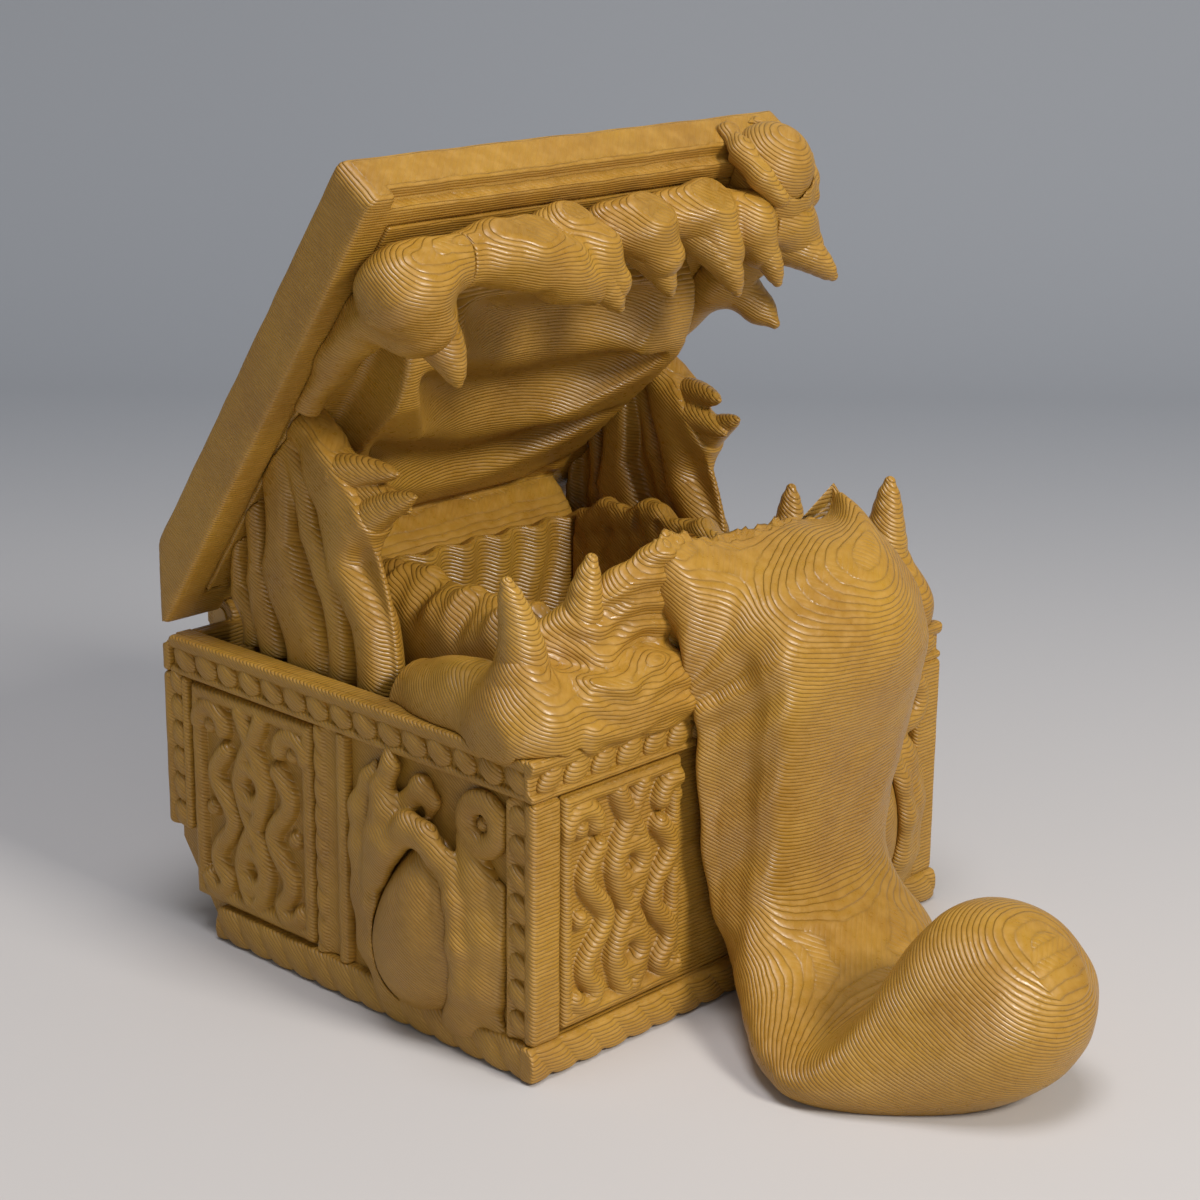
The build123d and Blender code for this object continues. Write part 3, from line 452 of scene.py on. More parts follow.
def grown(name, tree, values):
    """Run a tree of nodes on an empty object and keep the plain mesh that it makes."""
    seedling = bpy.data.objects.new(name + "_seedling", bpy.data.meshes.new(name + "_seedling"))
    bpy.context.scene.collection.objects.link(seedling)
    modifier = seedling.modifiers.new("nodes", "NODES")
    modifier.node_group = tree
    for item in tree.interface.items_tree:
        if item.in_out == "INPUT":
            modifier[item.identifier] = values[item.name]
    bpy.context.view_layer.update()
    result = seedling.evaluated_get(bpy.context.evaluated_depsgraph_get())
    mesh = bpy.data.meshes.new_from_object(result)
    mesh.name = name
    seedling.modifiers.remove(modifier)
    bpy.data.objects.remove(seedling)
    return mesh


rope = bead_tree()


def beads(name, count, start, step, turn, size, seed):
    values = {"Count": count, "Start": Vector(start) / 1000, "Step": Vector(step) / 1000,
              "Turn": turn, "Size": Vector(size) / 1000, "Seed": seed, "Material": chest_pla}
    return shown(name, grown(name, rope, values), "chest", "chest_print")


BEAD = (1.02, 1.42, 0.58)           # half sizes: across the slant, along it, off the wall
POST_BEAD = (0.86, 1.42, 0.60)
POST_TURN = 2.28                    # mm, one bead of a post's rope
OFF_WALL = 0.42                     # of a bead's middle
RAIL_ROPE = RAIL_BASE + 1.45        # where the trough runs
SLANT = math.radians(52)
POST_SLANT = math.radians(50)
UPRIGHT = math.radians(90)
beads("front_rail_rope", 17, (-21.9, -FACE_Y - OFF_WALL, RAIL_ROPE), (ROPE_TURN, 0, 0),
      (UPRIGHT, SLANT, 0), BEAD, 41)
for side, sign in (("left", -1), ("right", 1)):
    beads(side + "_rail_rope", 15, (sign * (FACE_X + OFF_WALL), -19.6, RAIL_ROPE), (0, ROPE_TURN, 0),
          (UPRIGHT, sign * -SLANT, UPRIGHT), BEAD, 42)
    beads(side + "_post_rope", 8, (sign * (FACE_X + OFF_WALL), POST_ROPE, PLINTH + 1.4),
          (0, 0, POST_TURN), (UPRIGHT, sign * -POST_SLANT, UPRIGHT), POST_BEAD, 43)


# ------------------------------------------------------------------ carved panels
# Thin plates printed with the walls, carved with a common interlace: a framing band, two
# strands that part and cross up the middle, a wavy strand on each side and beads between.
LOOP = 7.2              # mm from one ring of the chain to the next
GROUND = 0.04           # mm, the plate's own height over the wall
STRAND = (0.92, 0.98)   # half width and height of a strand


def strand(clay, points, width, height):
    """Height field of a rounded strand through (u, v) points."""
    points = np.array(points, dtype=np.float32)
    u = clay.x[:, :, 0][..., None]
    v = clay.y[:, :, 0][..., None]
    near = np.sqrt(((u - points[:, 0]) ** 2 + (v - points[:, 1]) ** 2).min(axis=2))
    return ridge(near, width, height)[..., None]


def interlace(low_u, high_u, low_v, high_v, chains):
    """Height over the wall of a whole panel with its chains at the given places."""
    def height(clay):
        edge = np.minimum(clay.x - low_u, high_u - clay.x)
        edge = np.minimum(edge, np.minimum(clay.y - low_v, high_v - clay.y))
        total = GROUND + ridge(edge - 0.60, 0.66, 0.76)
        ring = high_v - 7.1                                 # middle of the upper ring
        bead = ring + LOOP / 2 + 0.4
        v = np.linspace(low_v + 1.2, high_v - 1.2, 170)
        for middle in chains:
            for place in (ring, ring - LOOP):
                hole = np.sqrt((clay.x - middle) ** 2 + (clay.y - place) ** 2)
                total = np.maximum(total, GROUND + ridge(hole - 1.5, 0.98, 1.02))
            for sign in (-1, 1):
                part = middle + sign * 1.45 * np.cos(math.pi * (v - ring) / LOOP)
                total = np.maximum(total, GROUND + strand(clay, np.stack([part, v], 1), *STRAND))
                low = np.linspace(low_v + 2.2, bead - 1.9, 120)
                wave = 3.55 + 1.05 * np.cos(2 * math.pi * (low - ring) / LOOP)
                over = np.linspace(math.pi, 0, 24)
                under = np.linspace(0, -math.pi * 0.9, 20)
                hook = np.stack([5.1 + 1.6 * np.cos(over), bead + 1.45 * np.sin(over)], 1)
                curl = np.stack([wave[0] + 1.2 - 1.2 * np.cos(under), low[0] + 1.1 * np.sin(under)], 1)
                line = np.concatenate([curl[::-1], np.stack([wave, low], 1), hook])
                line[:, 0] = middle + sign * line[:, 0]
                total = np.maximum(total, GROUND + strand(clay, line, *STRAND))
                for place in (bead, bead - LOOP):
                    gap = np.sqrt((clay.x - middle - sign * 5.15) ** 2 + (clay.y - place) ** 2)
                    total = np.maximum(total, GROUND + ridge(gap, 0.80, 0.80))
        return total
    return height


def panel(low_u, high_u, chains, low_v=PLINTH + 0.3, step=0.13):
    span = (low_u, high_u, low_v, RAIL_BASE - 0.3)
    return slat(*span, interlace(*span, chains), 51, step)


cast("front_panel", panel(-20.7, -7.9, (-13.4,)), on_front)
left_and_right("panel", panel(-18.2, -3.3, (-10.8,)), on_left)
cast("rear_panel", panel(-20.5, 20.5, (-13.4, 0, 13.4), HEEL + 0.5, 0.16), on_rear)


# ------------------------------------------------------------------ eyes on the walls
# Smooth drop-shaped bosses without a pupil, printed with the wall.  Fleshy lids close on
# them from both sides and sweep up into leaves; a curl sits over the outer corner.
def eye_ball(clay, u, v):
    up = (clay.y - v) / 7.6
    x = (clay.x - u - 0.16 * (clay.y - v)) / (5.25 * (1 - 0.34 * up))
    z = (clay.z + 0.6) / 3.78
    return (np.sqrt(x * x + up * up + z * z) - 1) * 3.2


# (across, up, off the wall, radius) in mm from the middle of the ball
LIDS = [
    # the outer leaf on the left, and the ridge inside it
    [(-1.2, -8.0, 0.0, 1.2), (-3.8, -6.4, 0.2, 1.6), (-5.6, -3.2, 0.4, 1.7), (-6.2, 0.8, 0.5, 1.7),
     (-6.5, 4.6, 0.6, 1.5), (-6.9, 7.6, 0.6, 1.2), (-6.0, 10.2, 0.6, 0.8), (-5.4, 11.6, 0.5, 0.3)],
    [(-2.6, -7.0, 0.8, 0.6), (-4.6, -3.4, 1.6, 0.7), (-5.0, 0.6, 1.9, 0.75), (-4.7, 4.0, 1.9, 0.9)],
    # the tall leaf over it
    [(-4.8, 3.0, 1.4, 1.2), (-3.9, 6.2, 1.7, 1.5), (-3.5, 8.4, 1.5, 1.35), (-4.1, 10.0, 1.2, 1.0),
     (-3.3, 12.0, 1.0, 0.8), (-3.7, 13.4, 0.8, 0.3)],
    # the hood that comes down to a point over the ball
    [(-3.9, 3.2, 2.1, 0.9), (-2.6, 6.0, 2.3, 1.2), (-0.6, 8.0, 2.0, 1.2), (1.2, 7.8, 2.0, 1.1),
     (2.4, 6.6, 2.0, 0.9), (3.5, 4.8, 1.9, 0.6)],
    [(-1.6, 9.6, 0.4, 1.0), (-0.2, 11.0, 0.6, 0.9), (0.9, 10.2, 0.5, 0.6), (0.5, 9.0, 0.4, 0.4)],
    # the broad flap on the right, its sharp inner edge and its outer ridge
    [(4.6, 8.2, 0.3, 1.1), (5.6, 5.0, 0.2, 2.0), (6.2, 1.2, 0.2, 2.5), (5.9, -2.8, 0.2, 2.4),
     (4.4, -6.0, 0.1, 1.9), (2.2, -7.8, 0.0, 1.2)],
    [(3.4, 6.6, 1.7, 0.7), (4.5, 3.6, 2.4, 0.8), (5.1, 0.4, 2.6, 0.9), (4.9, -3.2, 2.1, 0.8),
     (3.0, -6.8, 0.9, 0.6)],
    [(8.0, 5.2, 0.5, 0.6), (8.2, 1.0, 0.8, 0.7), (7.8, -3.4, 0.7, 0.6), (6.6, -5.8, 0.5, 0.5)],
    [(-2.0, -7.8, 0.0, 1.0), (3.0, -7.6, 0.0, 1.0)],
    [(7.4, -5.4, 0.3, 0.8), (8.2, -6.8, 0.2, 0.6)],
]
CURL = (6.4, 10.0)


def lump(clay, middle, radius, stretch=(1, 1, 1)):
    """A ball, or an egg stretched along the axes."""
    x = (clay.x - middle[0]) / stretch[0]
    y = (clay.y - middle[1]) / stretch[1]
    z = (clay.z - middle[2]) / stretch[2]
    return (np.sqrt(x * x + y * y + z * z) - radius) * min(stretch)


def chain(clay, points, soft=0.4):
    """Limbs through (x, y, z, radius) points."""
    whole = None
    for here, there in zip(points, points[1:]):
        part = limb(clay, here[:3], there[:3], here[3], there[3])
        whole = part if whole is None else blend(whole, part, soft)
    return whole


class Flattened:
    """Clay in which a limb comes out lower than it is wide."""
    def __init__(self, clay, by):
        self.x, self.y, self.z = clay.x, clay.y, clay.z * by


def eye_lids(clay, u, v):
    flat = Flattened(clay, 1.35)
    lids = None
    for sweep in LIDS:
        part = chain(flat, [(u + a, v + b, c, r) for a, b, c, r in sweep], 0.8)
        lids = part if lids is None else blend(lids, part, 0.7)
    around = np.sqrt((clay.x - u - CURL[0]) ** 2 + (clay.y - v - CURL[1]) ** 2)
    lids = blend(lids, np.sqrt((around - 1.7) ** 2 + (flat.z - 0.6) ** 2) - 1.0, 0.3)
    return blend(lids, lump(clay, (u + CURL[0], v + CURL[1], 0.2), 0.62), 0.1)


def eye(name, u, v, place, flip=False):
    low, high = (u - 8.8, v - 9.0, -0.8), (u + 9.4, v + 13.4, 4.0)
    ball = Clay(low, high, 0.15)
    ball.d = eye_ball(ball, u, v)
    ball.keep(0.2 - ball.z - 0.4 + 0 * ball.x)
    cast(name + "_eye", ball, place, flip)
    lids = Clay(low, high, 0.14)
    lids.d = eye_lids(lids, u, v)
    lids.press(eye_ball(lids, u, v) - 0.03, 0.15)
    lids.waver(0.03, 2.6, 61)
    lids.keep(brick(lids, (u - 8.3, PLINTH - 2.0, -0.2), (u + 8.9, RAIL_BASE + 0.5, 3.2)), 0.2)
    cast(name + "_eyelids", lids, place, flip)


EYE_UP = 8.8            # mm, middle of an eye over the table
eye("left", 9.5, EYE_UP, on_left)
eye("right", 9.5, EYE_UP, on_left, flip=True)
eye("front", 13.6, EYE_UP, on_front)


# ------------------------------------------------------------------ sides of the well
# Solid blocks each side of the dice well, printed with the floor.  On top they show the
# cut margin of the mouth: fleshy rolls that fall away towards the cheeks, torn on the inside.
WELL_IN = 12.0          # mm, from the middle to the inner face
WELL_OUT = 16.4
WELL_REAR = 10.0
CREST = [(0, 32.0), (0.42, 31.6), (0.74, 32.6), (1, 31.0)]      # share of the way back, height


def well_side(front, seed):
    clay = Clay((-WELL_OUT - 0.5, front - 0.5, 1.5), (-WELL_IN + 0.7, WELL_REAR + 0.5, 35.5), 0.22)
    share = (clay.y - front) / (WELL_REAR - front)
    crest = np.interp(share, *zip(*CREST)).astype(np.float32)
    out = (-WELL_IN - clay.x) / (WELL_OUT - WELL_IN)
    rolls = 0.75 * np.sin(2 * math.pi * (clay.y + 0.5 * clay.x) / 5.6 + 1.1)
    rolls = rolls + 0.3 * np.sin(2 * math.pi * clay.y / 2.3)
    top = crest - 2.2 * out + rolls * (0.35 + 0.65 * out) + 0.9 * np.sin(math.pi * np.clip(out, 0, 1))
    torn = 0.30 * ripple(clay.x, clay.y, clay.z, 1.6, seed) * np.clip((clay.z - 26) / 4, 0, 1)
    clay.d = brick(clay, (-WELL_OUT, front, 2.0), (-WELL_IN, WELL_REAR, 60))
    clay.keep((clay.z - top) * 0.75, 0.9)
    clay.keep(clay.x + WELL_IN + torn + 0 * clay.z)
    return clay


cast("left_well_side", well_side(-14.5, 111))
cast("right_well_side", well_side(-19.2, 112), flip=True)


# ------------------------------------------------------------------ throat
# The rear wall of the well, in upright folds like the back of a throat.  The palate's
# skirt turns down behind it when the lid closes.
def round_hinge(clay):
    """Distance from the hinge line, in the chest's own axes."""
    return np.sqrt((clay.y - HALF_D) ** 2 + (clay.z - TOP) ** 2) + 0 * clay.x


throat = Clay((-17, 9.5, 1.5), (17, 15, 32), 0.24)
fold = np.sin(2 * math.pi * (throat.x + 0.9 * np.sin(throat.z / 2.6)) / 4.3)
fold = fold * np.clip((throat.z - 6) / 14, 0, 1)
throat.d = brick(throat, (-WELL_OUT, WELL_REAR, 2), (WELL_OUT, 14.5, 60))
throat.keep((WELL_REAR + 0.45 + 0.42 * fold - throat.y) * 0.8, 0.3)
throat.keep((throat.z - 30.7 + (throat.y - WELL_REAR) * 0.58 - 0.35 * fold) * 0.85, 0.8)
throat.press(round_hinge(throat) - 9.0)
cast("throat", throat)


# ------------------------------------------------------------------ tongue
# One thick tongue, printed with the chest: it leans over the front rail, hangs down the
# wall, spreads on the table and curls up at its tip.  Where it was cut from the mouth its
# edge is torn.
def spread(table, count):
    """Smooth rows between the rows of a table, by a curve through them."""
    table = np.array(table, dtype=float)
    at = np.linspace(0, len(table) - 1, count)
    slope = np.gradient(table, axis=0)
    i = np.minimum(at.astype(int), len(table) - 2)
    t = (at - i)[:, None]
    return ((2 * t ** 3 - 3 * t ** 2 + 1) * table[i] + (t ** 3 - 2 * t ** 2 + t) * slope[i]
            + (3 * t ** 2 - 2 * t ** 3) * table[i + 1] + (t ** 3 - t ** 2) * slope[i + 1])


# middle of each section in mm: across, ahead of the front of the chest, height; dip of the
# path in degrees; half width, half thickness; share of the drawn outline, and of the torn one
SECTIONS = [
    (3.0, -2.4, 31.2, -2, 11.3, 5.9, 0, 1.0),
    (3.2, -0.6, 31.0, 12, 11.3, 5.7, 0.35, 0.65),
    (3.2, 1.6, 30.2, 32, 11.4, 5.4, 0.8, 0.2),
    (3.2, 3.3, 28.5, 54, 11.3, 4.8, 1.0, 0),
    (3.2, 4.1, 26.0, 72, 11.1, 4.2, 1.0, 0),
    (3.0, 3.8, 22.0, 88, 10.6, 3.6, 1.0, 0),
    (2.4, 3.5, 15.5, 92, 9.5, 3.2, 1.0, 0),
    (2.2, 3.6, 10.5, 84, 9.2, 3.1, 0.8, 0),
    (2.2, 5.0, 6.8, 66, 9.9, 3.4, 0.4, 0),
    (1.6, 7.6, 4.0, 44, 11.0, 3.5, 0.1, 0),
    (-0.4, 11.2, 2.2, 18, 11.7, 3.1, 0, 0),
    (-1.8, 15.4, 1.6, 0, 11.8, 3.0, 0, 0),
    (-1.8, 19.0, 2.8, -18, 10.5, 4.8, 0, 0),
    (-1.2, 22.2, 5.4, -32, 8.8, 6.7, 0, 0),
    (-0.7, 25.0, 8.0, -38, 7.4, 7.1, 0, 0),
    (-0.3, 27.6, 10.0, -40, 5.5, 5.3, 0, 0),
    (-0.1, 29.0, 11.0, -40, 2.6, 2.5, 0, 0),
]
# outlines of a section, as shares of its half width and half thickness: torn out of the mouth,
# with raised rims, and drawn back to the wall on its left
TORN = [(0.98, 0), (0.96, 0.45), (0.88, 0.86), (0.80, 1.16), (0.72, 0.80), (0.45, 0.74),
        (0.10, 0.78), (-0.40, 0.95), (-0.80, 1.12), (-1.04, 1.18), (-1.08, 0.55), (-0.98, -0.10),
        (-0.97, -0.75), (-0.30, -1), (0.75, -0.9)]
DRAWN = [(1, 0), (0.95, 0.42), (0.75, 0.78), (0.42, 0.97), (0, 1), (-0.38, 0.96),
         (-0.66, 0.80), (-0.76, 0.46), (-0.80, 0.06), (-0.90, -0.42), (-0.99, -0.86), (-0.62, -1),
         (0, -1), (0.6, -1), (0.9, -0.72)]
REST_ON_WALL = -HALF_D - 0.15       # where the hanging part lies against the front rail


def tongue_mesh():
    rings, around = 300, 180
    path = spread(SECTIONS, rings)
    loop = spread(DRAWN + DRAWN[:1], around + 1)[:-1]
    rim = spread(TORN + TORN[:1], around + 1)[:-1]
    turn = 2 * math.pi * np.linspace(0, 1, around, endpoint=False)
    oval = np.stack([np.cos(turn), np.sin(turn)], axis=1)
    oval = np.sign(oval) * np.abs(oval) ** 0.92
    points = []
    for row, (x, ahead, z, dip, half, thick, drawn, torn) in enumerate(path):
        dip = math.radians(dip)
        out = np.array((0, -math.sin(dip), math.cos(dip)))
        shape = oval + drawn * (loop - oval) + torn * (rim - oval)
        flank = np.exp(-((shape[:, 0] + 0.85) / 0.22) ** 2) * drawn
        crease = 0.22 * flank * np.sin(2 * math.pi * row / 21 + 3 * shape[:, 1])
        side = half * shape[:, 0] - crease
        crest = np.clip((z - 21) / 8, 0, 1) * np.exp(-((half * shape[:, 0] - 2.6) / 5) ** 2)
        rise = thick * shape[:, 1] + crest * np.clip(1.4 * shape[:, 1], 0, 1)
        middle = np.array((x, -HALF_D - ahead, z))
        points.append(middle + side[:, None] * np.array((1, 0, 0)) + rise[:, None] * out)
    flat = np.array(points).reshape(-1, 3)
    flat += 0.06 * ripple(*flat.T, 3.0, 121)[:, None] * np.array((1, -1, 0))
    flat[:, 2] = np.maximum(flat[:, 2], 0.0)
    hanging = (flat[:, 2] < TOP) & (flat[:, 1] > REST_ON_WALL)
    flat[hanging, 1] = REST_ON_WALL
    for ring, share in enumerate(np.linspace(1, 0, 8)):
        edge = flat[ring * around:(ring + 1) * around]
        edge[:, 2] += 0.35 * share * np.clip((edge[:, 2] - 31) / 5, 0, 1) * ripple(*edge.T, 1.3, 122)
    i = np.arange(rings - 1)[:, None] * around
    j = np.arange(around)[None, :]
    k = (j + 1) % around
    quads = np.stack([i + j, i + k, i + around + k, i + around + j], axis=-1).reshape(-1, 4)
    faces = [quads[:, [0, 1, 2]], quads[:, [0, 2, 3]]]
    for ring, order in ((0, -1), (rings - 1, 1)):
        start = ring * around
        flat = np.vstack([flat, flat[start:start + around].mean(axis=0)])
        ends = np.stack([start + j[0], start + k[0], np.full(around, len(flat) - 1)], axis=1)
        faces.append(ends if order > 0 else ends[:, [1, 0, 2]])
    return make_mesh("tongue_form", flat, np.vstack(faces))


shown("tongue_form", tongue_mesh(), "chest", "flesh_print", "tongue")


# ------------------------------------------------------------------ lower gums and fangs
# Lumpy gums over the front corners of the rim, in rolls that sag over the rail.  Fangs are
# printed with them, as broad blunt cones.
WEB = [                 # cords of flesh from the left gum up to the torn edge of the tongue
    [(-8.4, -19.2, 37.2, 0.9), (-11.6, -18.2, 35.0, 1.0), (-15.6, -16.6, 32.4, 1.1),
     (-19.0, -14.6, 30.4, 1.4)],
    [(-8.0, -19.0, 34.6, 1.0), (-12.0, -17.4, 32.2, 1.3), (-16.4, -15.6, 29.8, 1.6)],
    [(-8.0, -18.8, 31.6, 1.2), (-11.6, -17.0, 29.4, 1.5), (-15.6, -15.6, 28.0, 1.6)],
]


def lower_gum(left):
    """The gum over one front corner, worked on the left side."""
    clay = Clay((-25.0, -23.0, 23.6), (-5.6 if left else -15.6, -2.4, 38.6 if left else 34.0), 0.17)
    clay.d = lump(clay, (-20.7, -17.9, 26.0), 4.0)
    clay.limbs([(-20.4, -15, 25.8, 3.4), (-19.4, -9, 25.2, 3.2), (-19.1, -4.6, 24.4, 3.2)], 2.2, 2.0)
    clay.add(limb(clay, (-20.8, -17.5, 27.0), (-21.1, -17.2, 29.8), 3.2, 2.2), 1.6)
    clay.lump((-20.2, -11.6, 26.6), 2.6, 1.6, (1, 1.3, 1))
    if left:
        clay.limbs([(-16.5, -18.6, 26.4, 3.4), (-11.5, -18.7, 26.6, 3.3),
                    (-8.2, -18.7, 26.2, 3.2)], 1.5, 1.5)
        clay.add(limb(clay, (-14.4, -17.6, 27.0), (-14.3, -17.2, 31.0), 3.3, 2.2), 1.4)
        clay.add(limb(clay, (-9.0, -18.7, 26.6), (-8.9, -18.7, 29.4), 2.2, 1.4), 0.9)
        clay.limbs([(-17.8, -20.8, 25.6, 1.5), (-13.0, -21.0, 26.0, 1.6), (-7.8, -20.9, 25.7, 1.5)], 0.5)
        clay.limbs([(-17.4, -20.4, 28.4, 1.2), (-14.4, -20.9, 28.0, 1.4), (-11.0, -20.6, 28.6, 1.4),
                    (-7.8, -20.4, 28.0, 1.3)], 0.5)
        web = chain(clay, WEB[0], 1.5)
        for cord in WEB[1:]:
            web = blend(web, chain(clay, cord, 1.5), 2.5)
        clay.add(web, 1.2)
        flow = clay.z + 0.45 * np.sin(0.75 * clay.x + 0.4) - 0.10 * np.abs(clay.x + 14.4)
        fades = 0.14 * np.sin(3.4 * flow) * np.clip((-16.9 - clay.y) / 2, 0, 1)
        clay.d = clay.d + fades * np.clip((clay.x + 19.5) / 2, 0, 1)
    else:
        clay.add(limb(clay, (-20.7, -12.2, 26.0), (-21.1, -12.0, 29.4), 2.5, 1.8), 1.0)
        clay.add(limb(clay, (-20.2, -7.8, 25.4), (-20.4, -7.3, 29.0), 2.9, 2.2), 1.0)
    clay.waver(0.09, 3.4, 71)
    clay.press(brick(clay, (-HALF_W, -HALF_D, -9), (HALF_W, HALF_D, TOP)))
    clay.keep(brick(clay, (-24.8, -22.4, 24.2), (-7.45, 9, FAR), 0.5), 0.3)
    if left:
        clay.press(brick(clay, (-16.5, -14.6, -9), (FAR, FAR, 34)))
        clay.press(brick(clay, (-WELL_IN, -19.2, -9), (FAR, FAR, 31.2)))
    else:
        clay.press(brick(clay, (-16.5, -FAR, -9), (FAR, FAR, FAR)))
    clay.press(round_hinge(clay) - 25.6)
    return clay


cast("left_gum", lower_gum(True))
cast("right_gum", lower_gum(False), flip=True)


def cone(clay, root, tip, radius, point, bend):
    """A bent cone with full sides and a blunt tip."""
    root, tip, bend = (np.array(v, dtype=float) for v in (root, tip, bend))
    line = []
    for share in (0, 0.15, 0.3, 0.45, 0.6, 0.75, 0.88, 1):
        middle = root + share * (tip - root) + bend * math.sin(math.pi * share)
        line.append((*middle, point + (radius - point) * (1 - share) ** 0.72))
    return chain(clay, line, 0.15)


def fang(node, root, tip, radius, point=0.4, bend=(0, 0, 0), place=None, flip=False):
    low = np.minimum(root, tip) - radius - 0.8
    high = np.maximum(root, tip) + radius + 0.8
    clay = Clay(low, high, 0.11)
    clay.d = cone(clay, root, tip, radius, point, bend)
    clay.waver(0.025, 2.4, 81)
    cast(node, clay, place, flip)


fang("left_corner_fang", (-20.9, -17.3, 27.6), (-22.2, -17.0, 37.0), 2.45, 0.5, (0.6, 0, 0))
fang("left_front_fang", (-14.5, -17.0, 27.6), (-14.1, -17.5, 37.2), 2.5, 0.5, (-0.5, 0, 0))
fang("left_small_fang", (-9.0, -18.7, 26.2), (-8.5, -18.7, 32.4), 1.5, 0.35)
fang("right_corner_fang", (-20.7, -17.3, 27.4), (-21.4, -17.3, 36.6), 2.6, 0.5, flip=True)
fang("right_small_fang", (-20.9, -12.3, 27.0), (-21.6, -12.1, 32.6), 1.8, 0.4, flip=True)
fang("right_side_fang", (-20.3, -7.7, 26.6), (-21.1, -7.1, 34.2), 2.2, 0.45, flip=True)


# ------------------------------------------------------------------ cheeks and their teeth
# Walls of flesh that hang from the lid and slide down beside the well as it closes.  Their
# thick folds run in arcs round the hinge; small teeth stand on their front edge.
CHEEK_IN = 16.95        # mm, from the middle to the inner face
CHEEK_OUT = 21.25
# distance in mm of each fold from the hinge at 0, 12, 24, 36, 48 and 60 degrees over the
# rails; how far it lies outside the cheek's middle; its radius
FOLDS = [
    ((21.4, 21.6, 20.3, 21.2, 23.0, 22.8), 0.1, 1.7),
    ((18.0, 17.8, 17.4, 18.0, 20.4, 21.9), 0.5, 1.15),
    ((13.9, 13.6, 13.3, 13.8, 17.0, 19.9), -0.1, 2.5),
    ((9.6, 9.4, 9.3, 9.6, 12.0, 14.8), 0.4, 1.4),
    ((6.6, 6.6, 6.6, 6.7, 8.0, 10.6), 0.1, 1.2),
]
# each tooth: down from the lid in degrees, across, and where it points
CHEEK_TEETH = [
    (13.5, 19.6, (0.25, -0.88, 0.10)),
    (18.2, 18.6, (0.12, -0.84, -0.12)),
    (23.0, 19.2, (0.15, -0.82, 0.45)),
]
TEETH_REACH = 24.0      # mm, from the hinge to a tooth's root


def tooth_places():
    """Root and direction of each cheek tooth, on the left side."""
    for down, across, aim in CHEEK_TEETH:
        turn = LID_OPEN - math.radians(down)
        out = np.array((0, -math.cos(turn), math.sin(turn)))
        yield np.array((-across, HALF_D, TOP)) + TEETH_REACH * out, np.array(aim)


def cheek():
    clay = Clay((-22.0, -4.4, 22.6), (-16.2, 17.4, 46.4), 0.17)
    middle = -(CHEEK_IN + CHEEK_OUT) / 2
    away = round_hinge(clay)
    height = np.degrees(np.arctan2(clay.z - TOP, HALF_D - clay.y)) + 0 * clay.x
    clay.d = np.maximum(np.abs(clay.x - middle) - 0.3, np.maximum(away - 23.6, 5.4 - away))
    for places, aside, radius in FOLDS:
        path = np.interp(height, (0, 12, 24, 36, 48, 60), places) + 0.3 * np.sin(height / 9 + places[0])
        fold = np.sqrt((away - path) ** 2 + (0.86 * (clay.x - middle + aside)) ** 2) - radius
        clay.add(fold, 0.5)
    for root, aim in tooth_places():
        clay.add(limb(clay, root - 1.6 * aim, root + 0.6 * aim, 1.9, 1.6), 1.6)
    clay.waver(0.04, 4.4, 131)
    clay.keep(brick(clay, (-CHEEK_OUT, -9, 0), (-CHEEK_IN, FAR, FAR), 0.4), 0.5)
    clay.keep(np.maximum(away - 24.8, 5.2 - away), 0.3)
    # the lid's underside above, the bottom of the pocket below
    under_lid = (clay.z - TOP) * math.cos(LID_OPEN) - (HALF_D - clay.y) * math.sin(LID_OPEN)
    clay.keep(under_lid + 0.02 + 0 * clay.x)
    clay.keep((TOP - clay.z) - (HALF_D - clay.y) * math.tan(math.radians(3.5)) + 0 * clay.x)
    return clay


left_and_right("cheek", cheek())


def cheek_teeth():
    clay = Clay((-22.0, -8.6, 33.0), (-15.4, 7.0, 45.4), 0.13)
    for root, aim in tooth_places():
        clay.add(cone(clay, root - 0.4 * aim, root + 5.2 * aim, 1.6, 0.3, (0, 0, 0.2)))
    return clay


left_and_right("cheek_teeth", cheek_teeth())


# ------------------------------------------------------------------ lid
# A thick board printed standing on edge, open, with two sunk fields on top and a tray
# underneath.  The nozzle leaves its edges rounded; a step under the front edge takes the gum.
def on_lid(p):
    """From the lid's own axes: x across, y towards the hinge, z out through the lid."""
    cosine, sine = math.cos(LID_OPEN), math.sin(LID_OPEN)
    y = p[:, 1] * cosine + p[:, 2] * sine
    z = -p[:, 1] * sine + p[:, 2] * cosine
    return np.stack([p[:, 0], HALF_D + y, TOP + z], axis=1)


LID = 46.5              # mm, from the hinge line to the front edge
LID_THICK = 4.5
TRAY = 43.5             # from the hinge line to the front of the tray and of the sunk fields
KNUCKLE = 7.2           # pitch of the hinge's knuckles
BARREL = 1.8            # their radius
ROOM = 2.1              # radius of the room cut round the other side's knuckles
PIN_TIGHT = 0.895       # radius of the bore that grips the 1.75 mm pin, in the chest
PIN_LOOSE = 0.925       # and of the one that turns on it, in the lid


def knuckles(clay, y, z, first, bore):
    """Give a piece every second knuckle and clear room for the other side's."""
    reach = np.sqrt((clay.y - y) ** 2 + (clay.z - z) ** 2)
    for i in range(5):
        middle = (i - 2) * KNUCKLE
        if i % 2 == first:
            clay.add(np.maximum(reach - BARREL, np.abs(clay.x - middle) - KNUCKLE / 2 + 0.1))
        else:
            clay.press(np.maximum(reach - ROOM, np.abs(clay.x - middle) - KNUCKLE / 2 - 0.2))
    clay.press(reach - bore + 0 * clay.x)


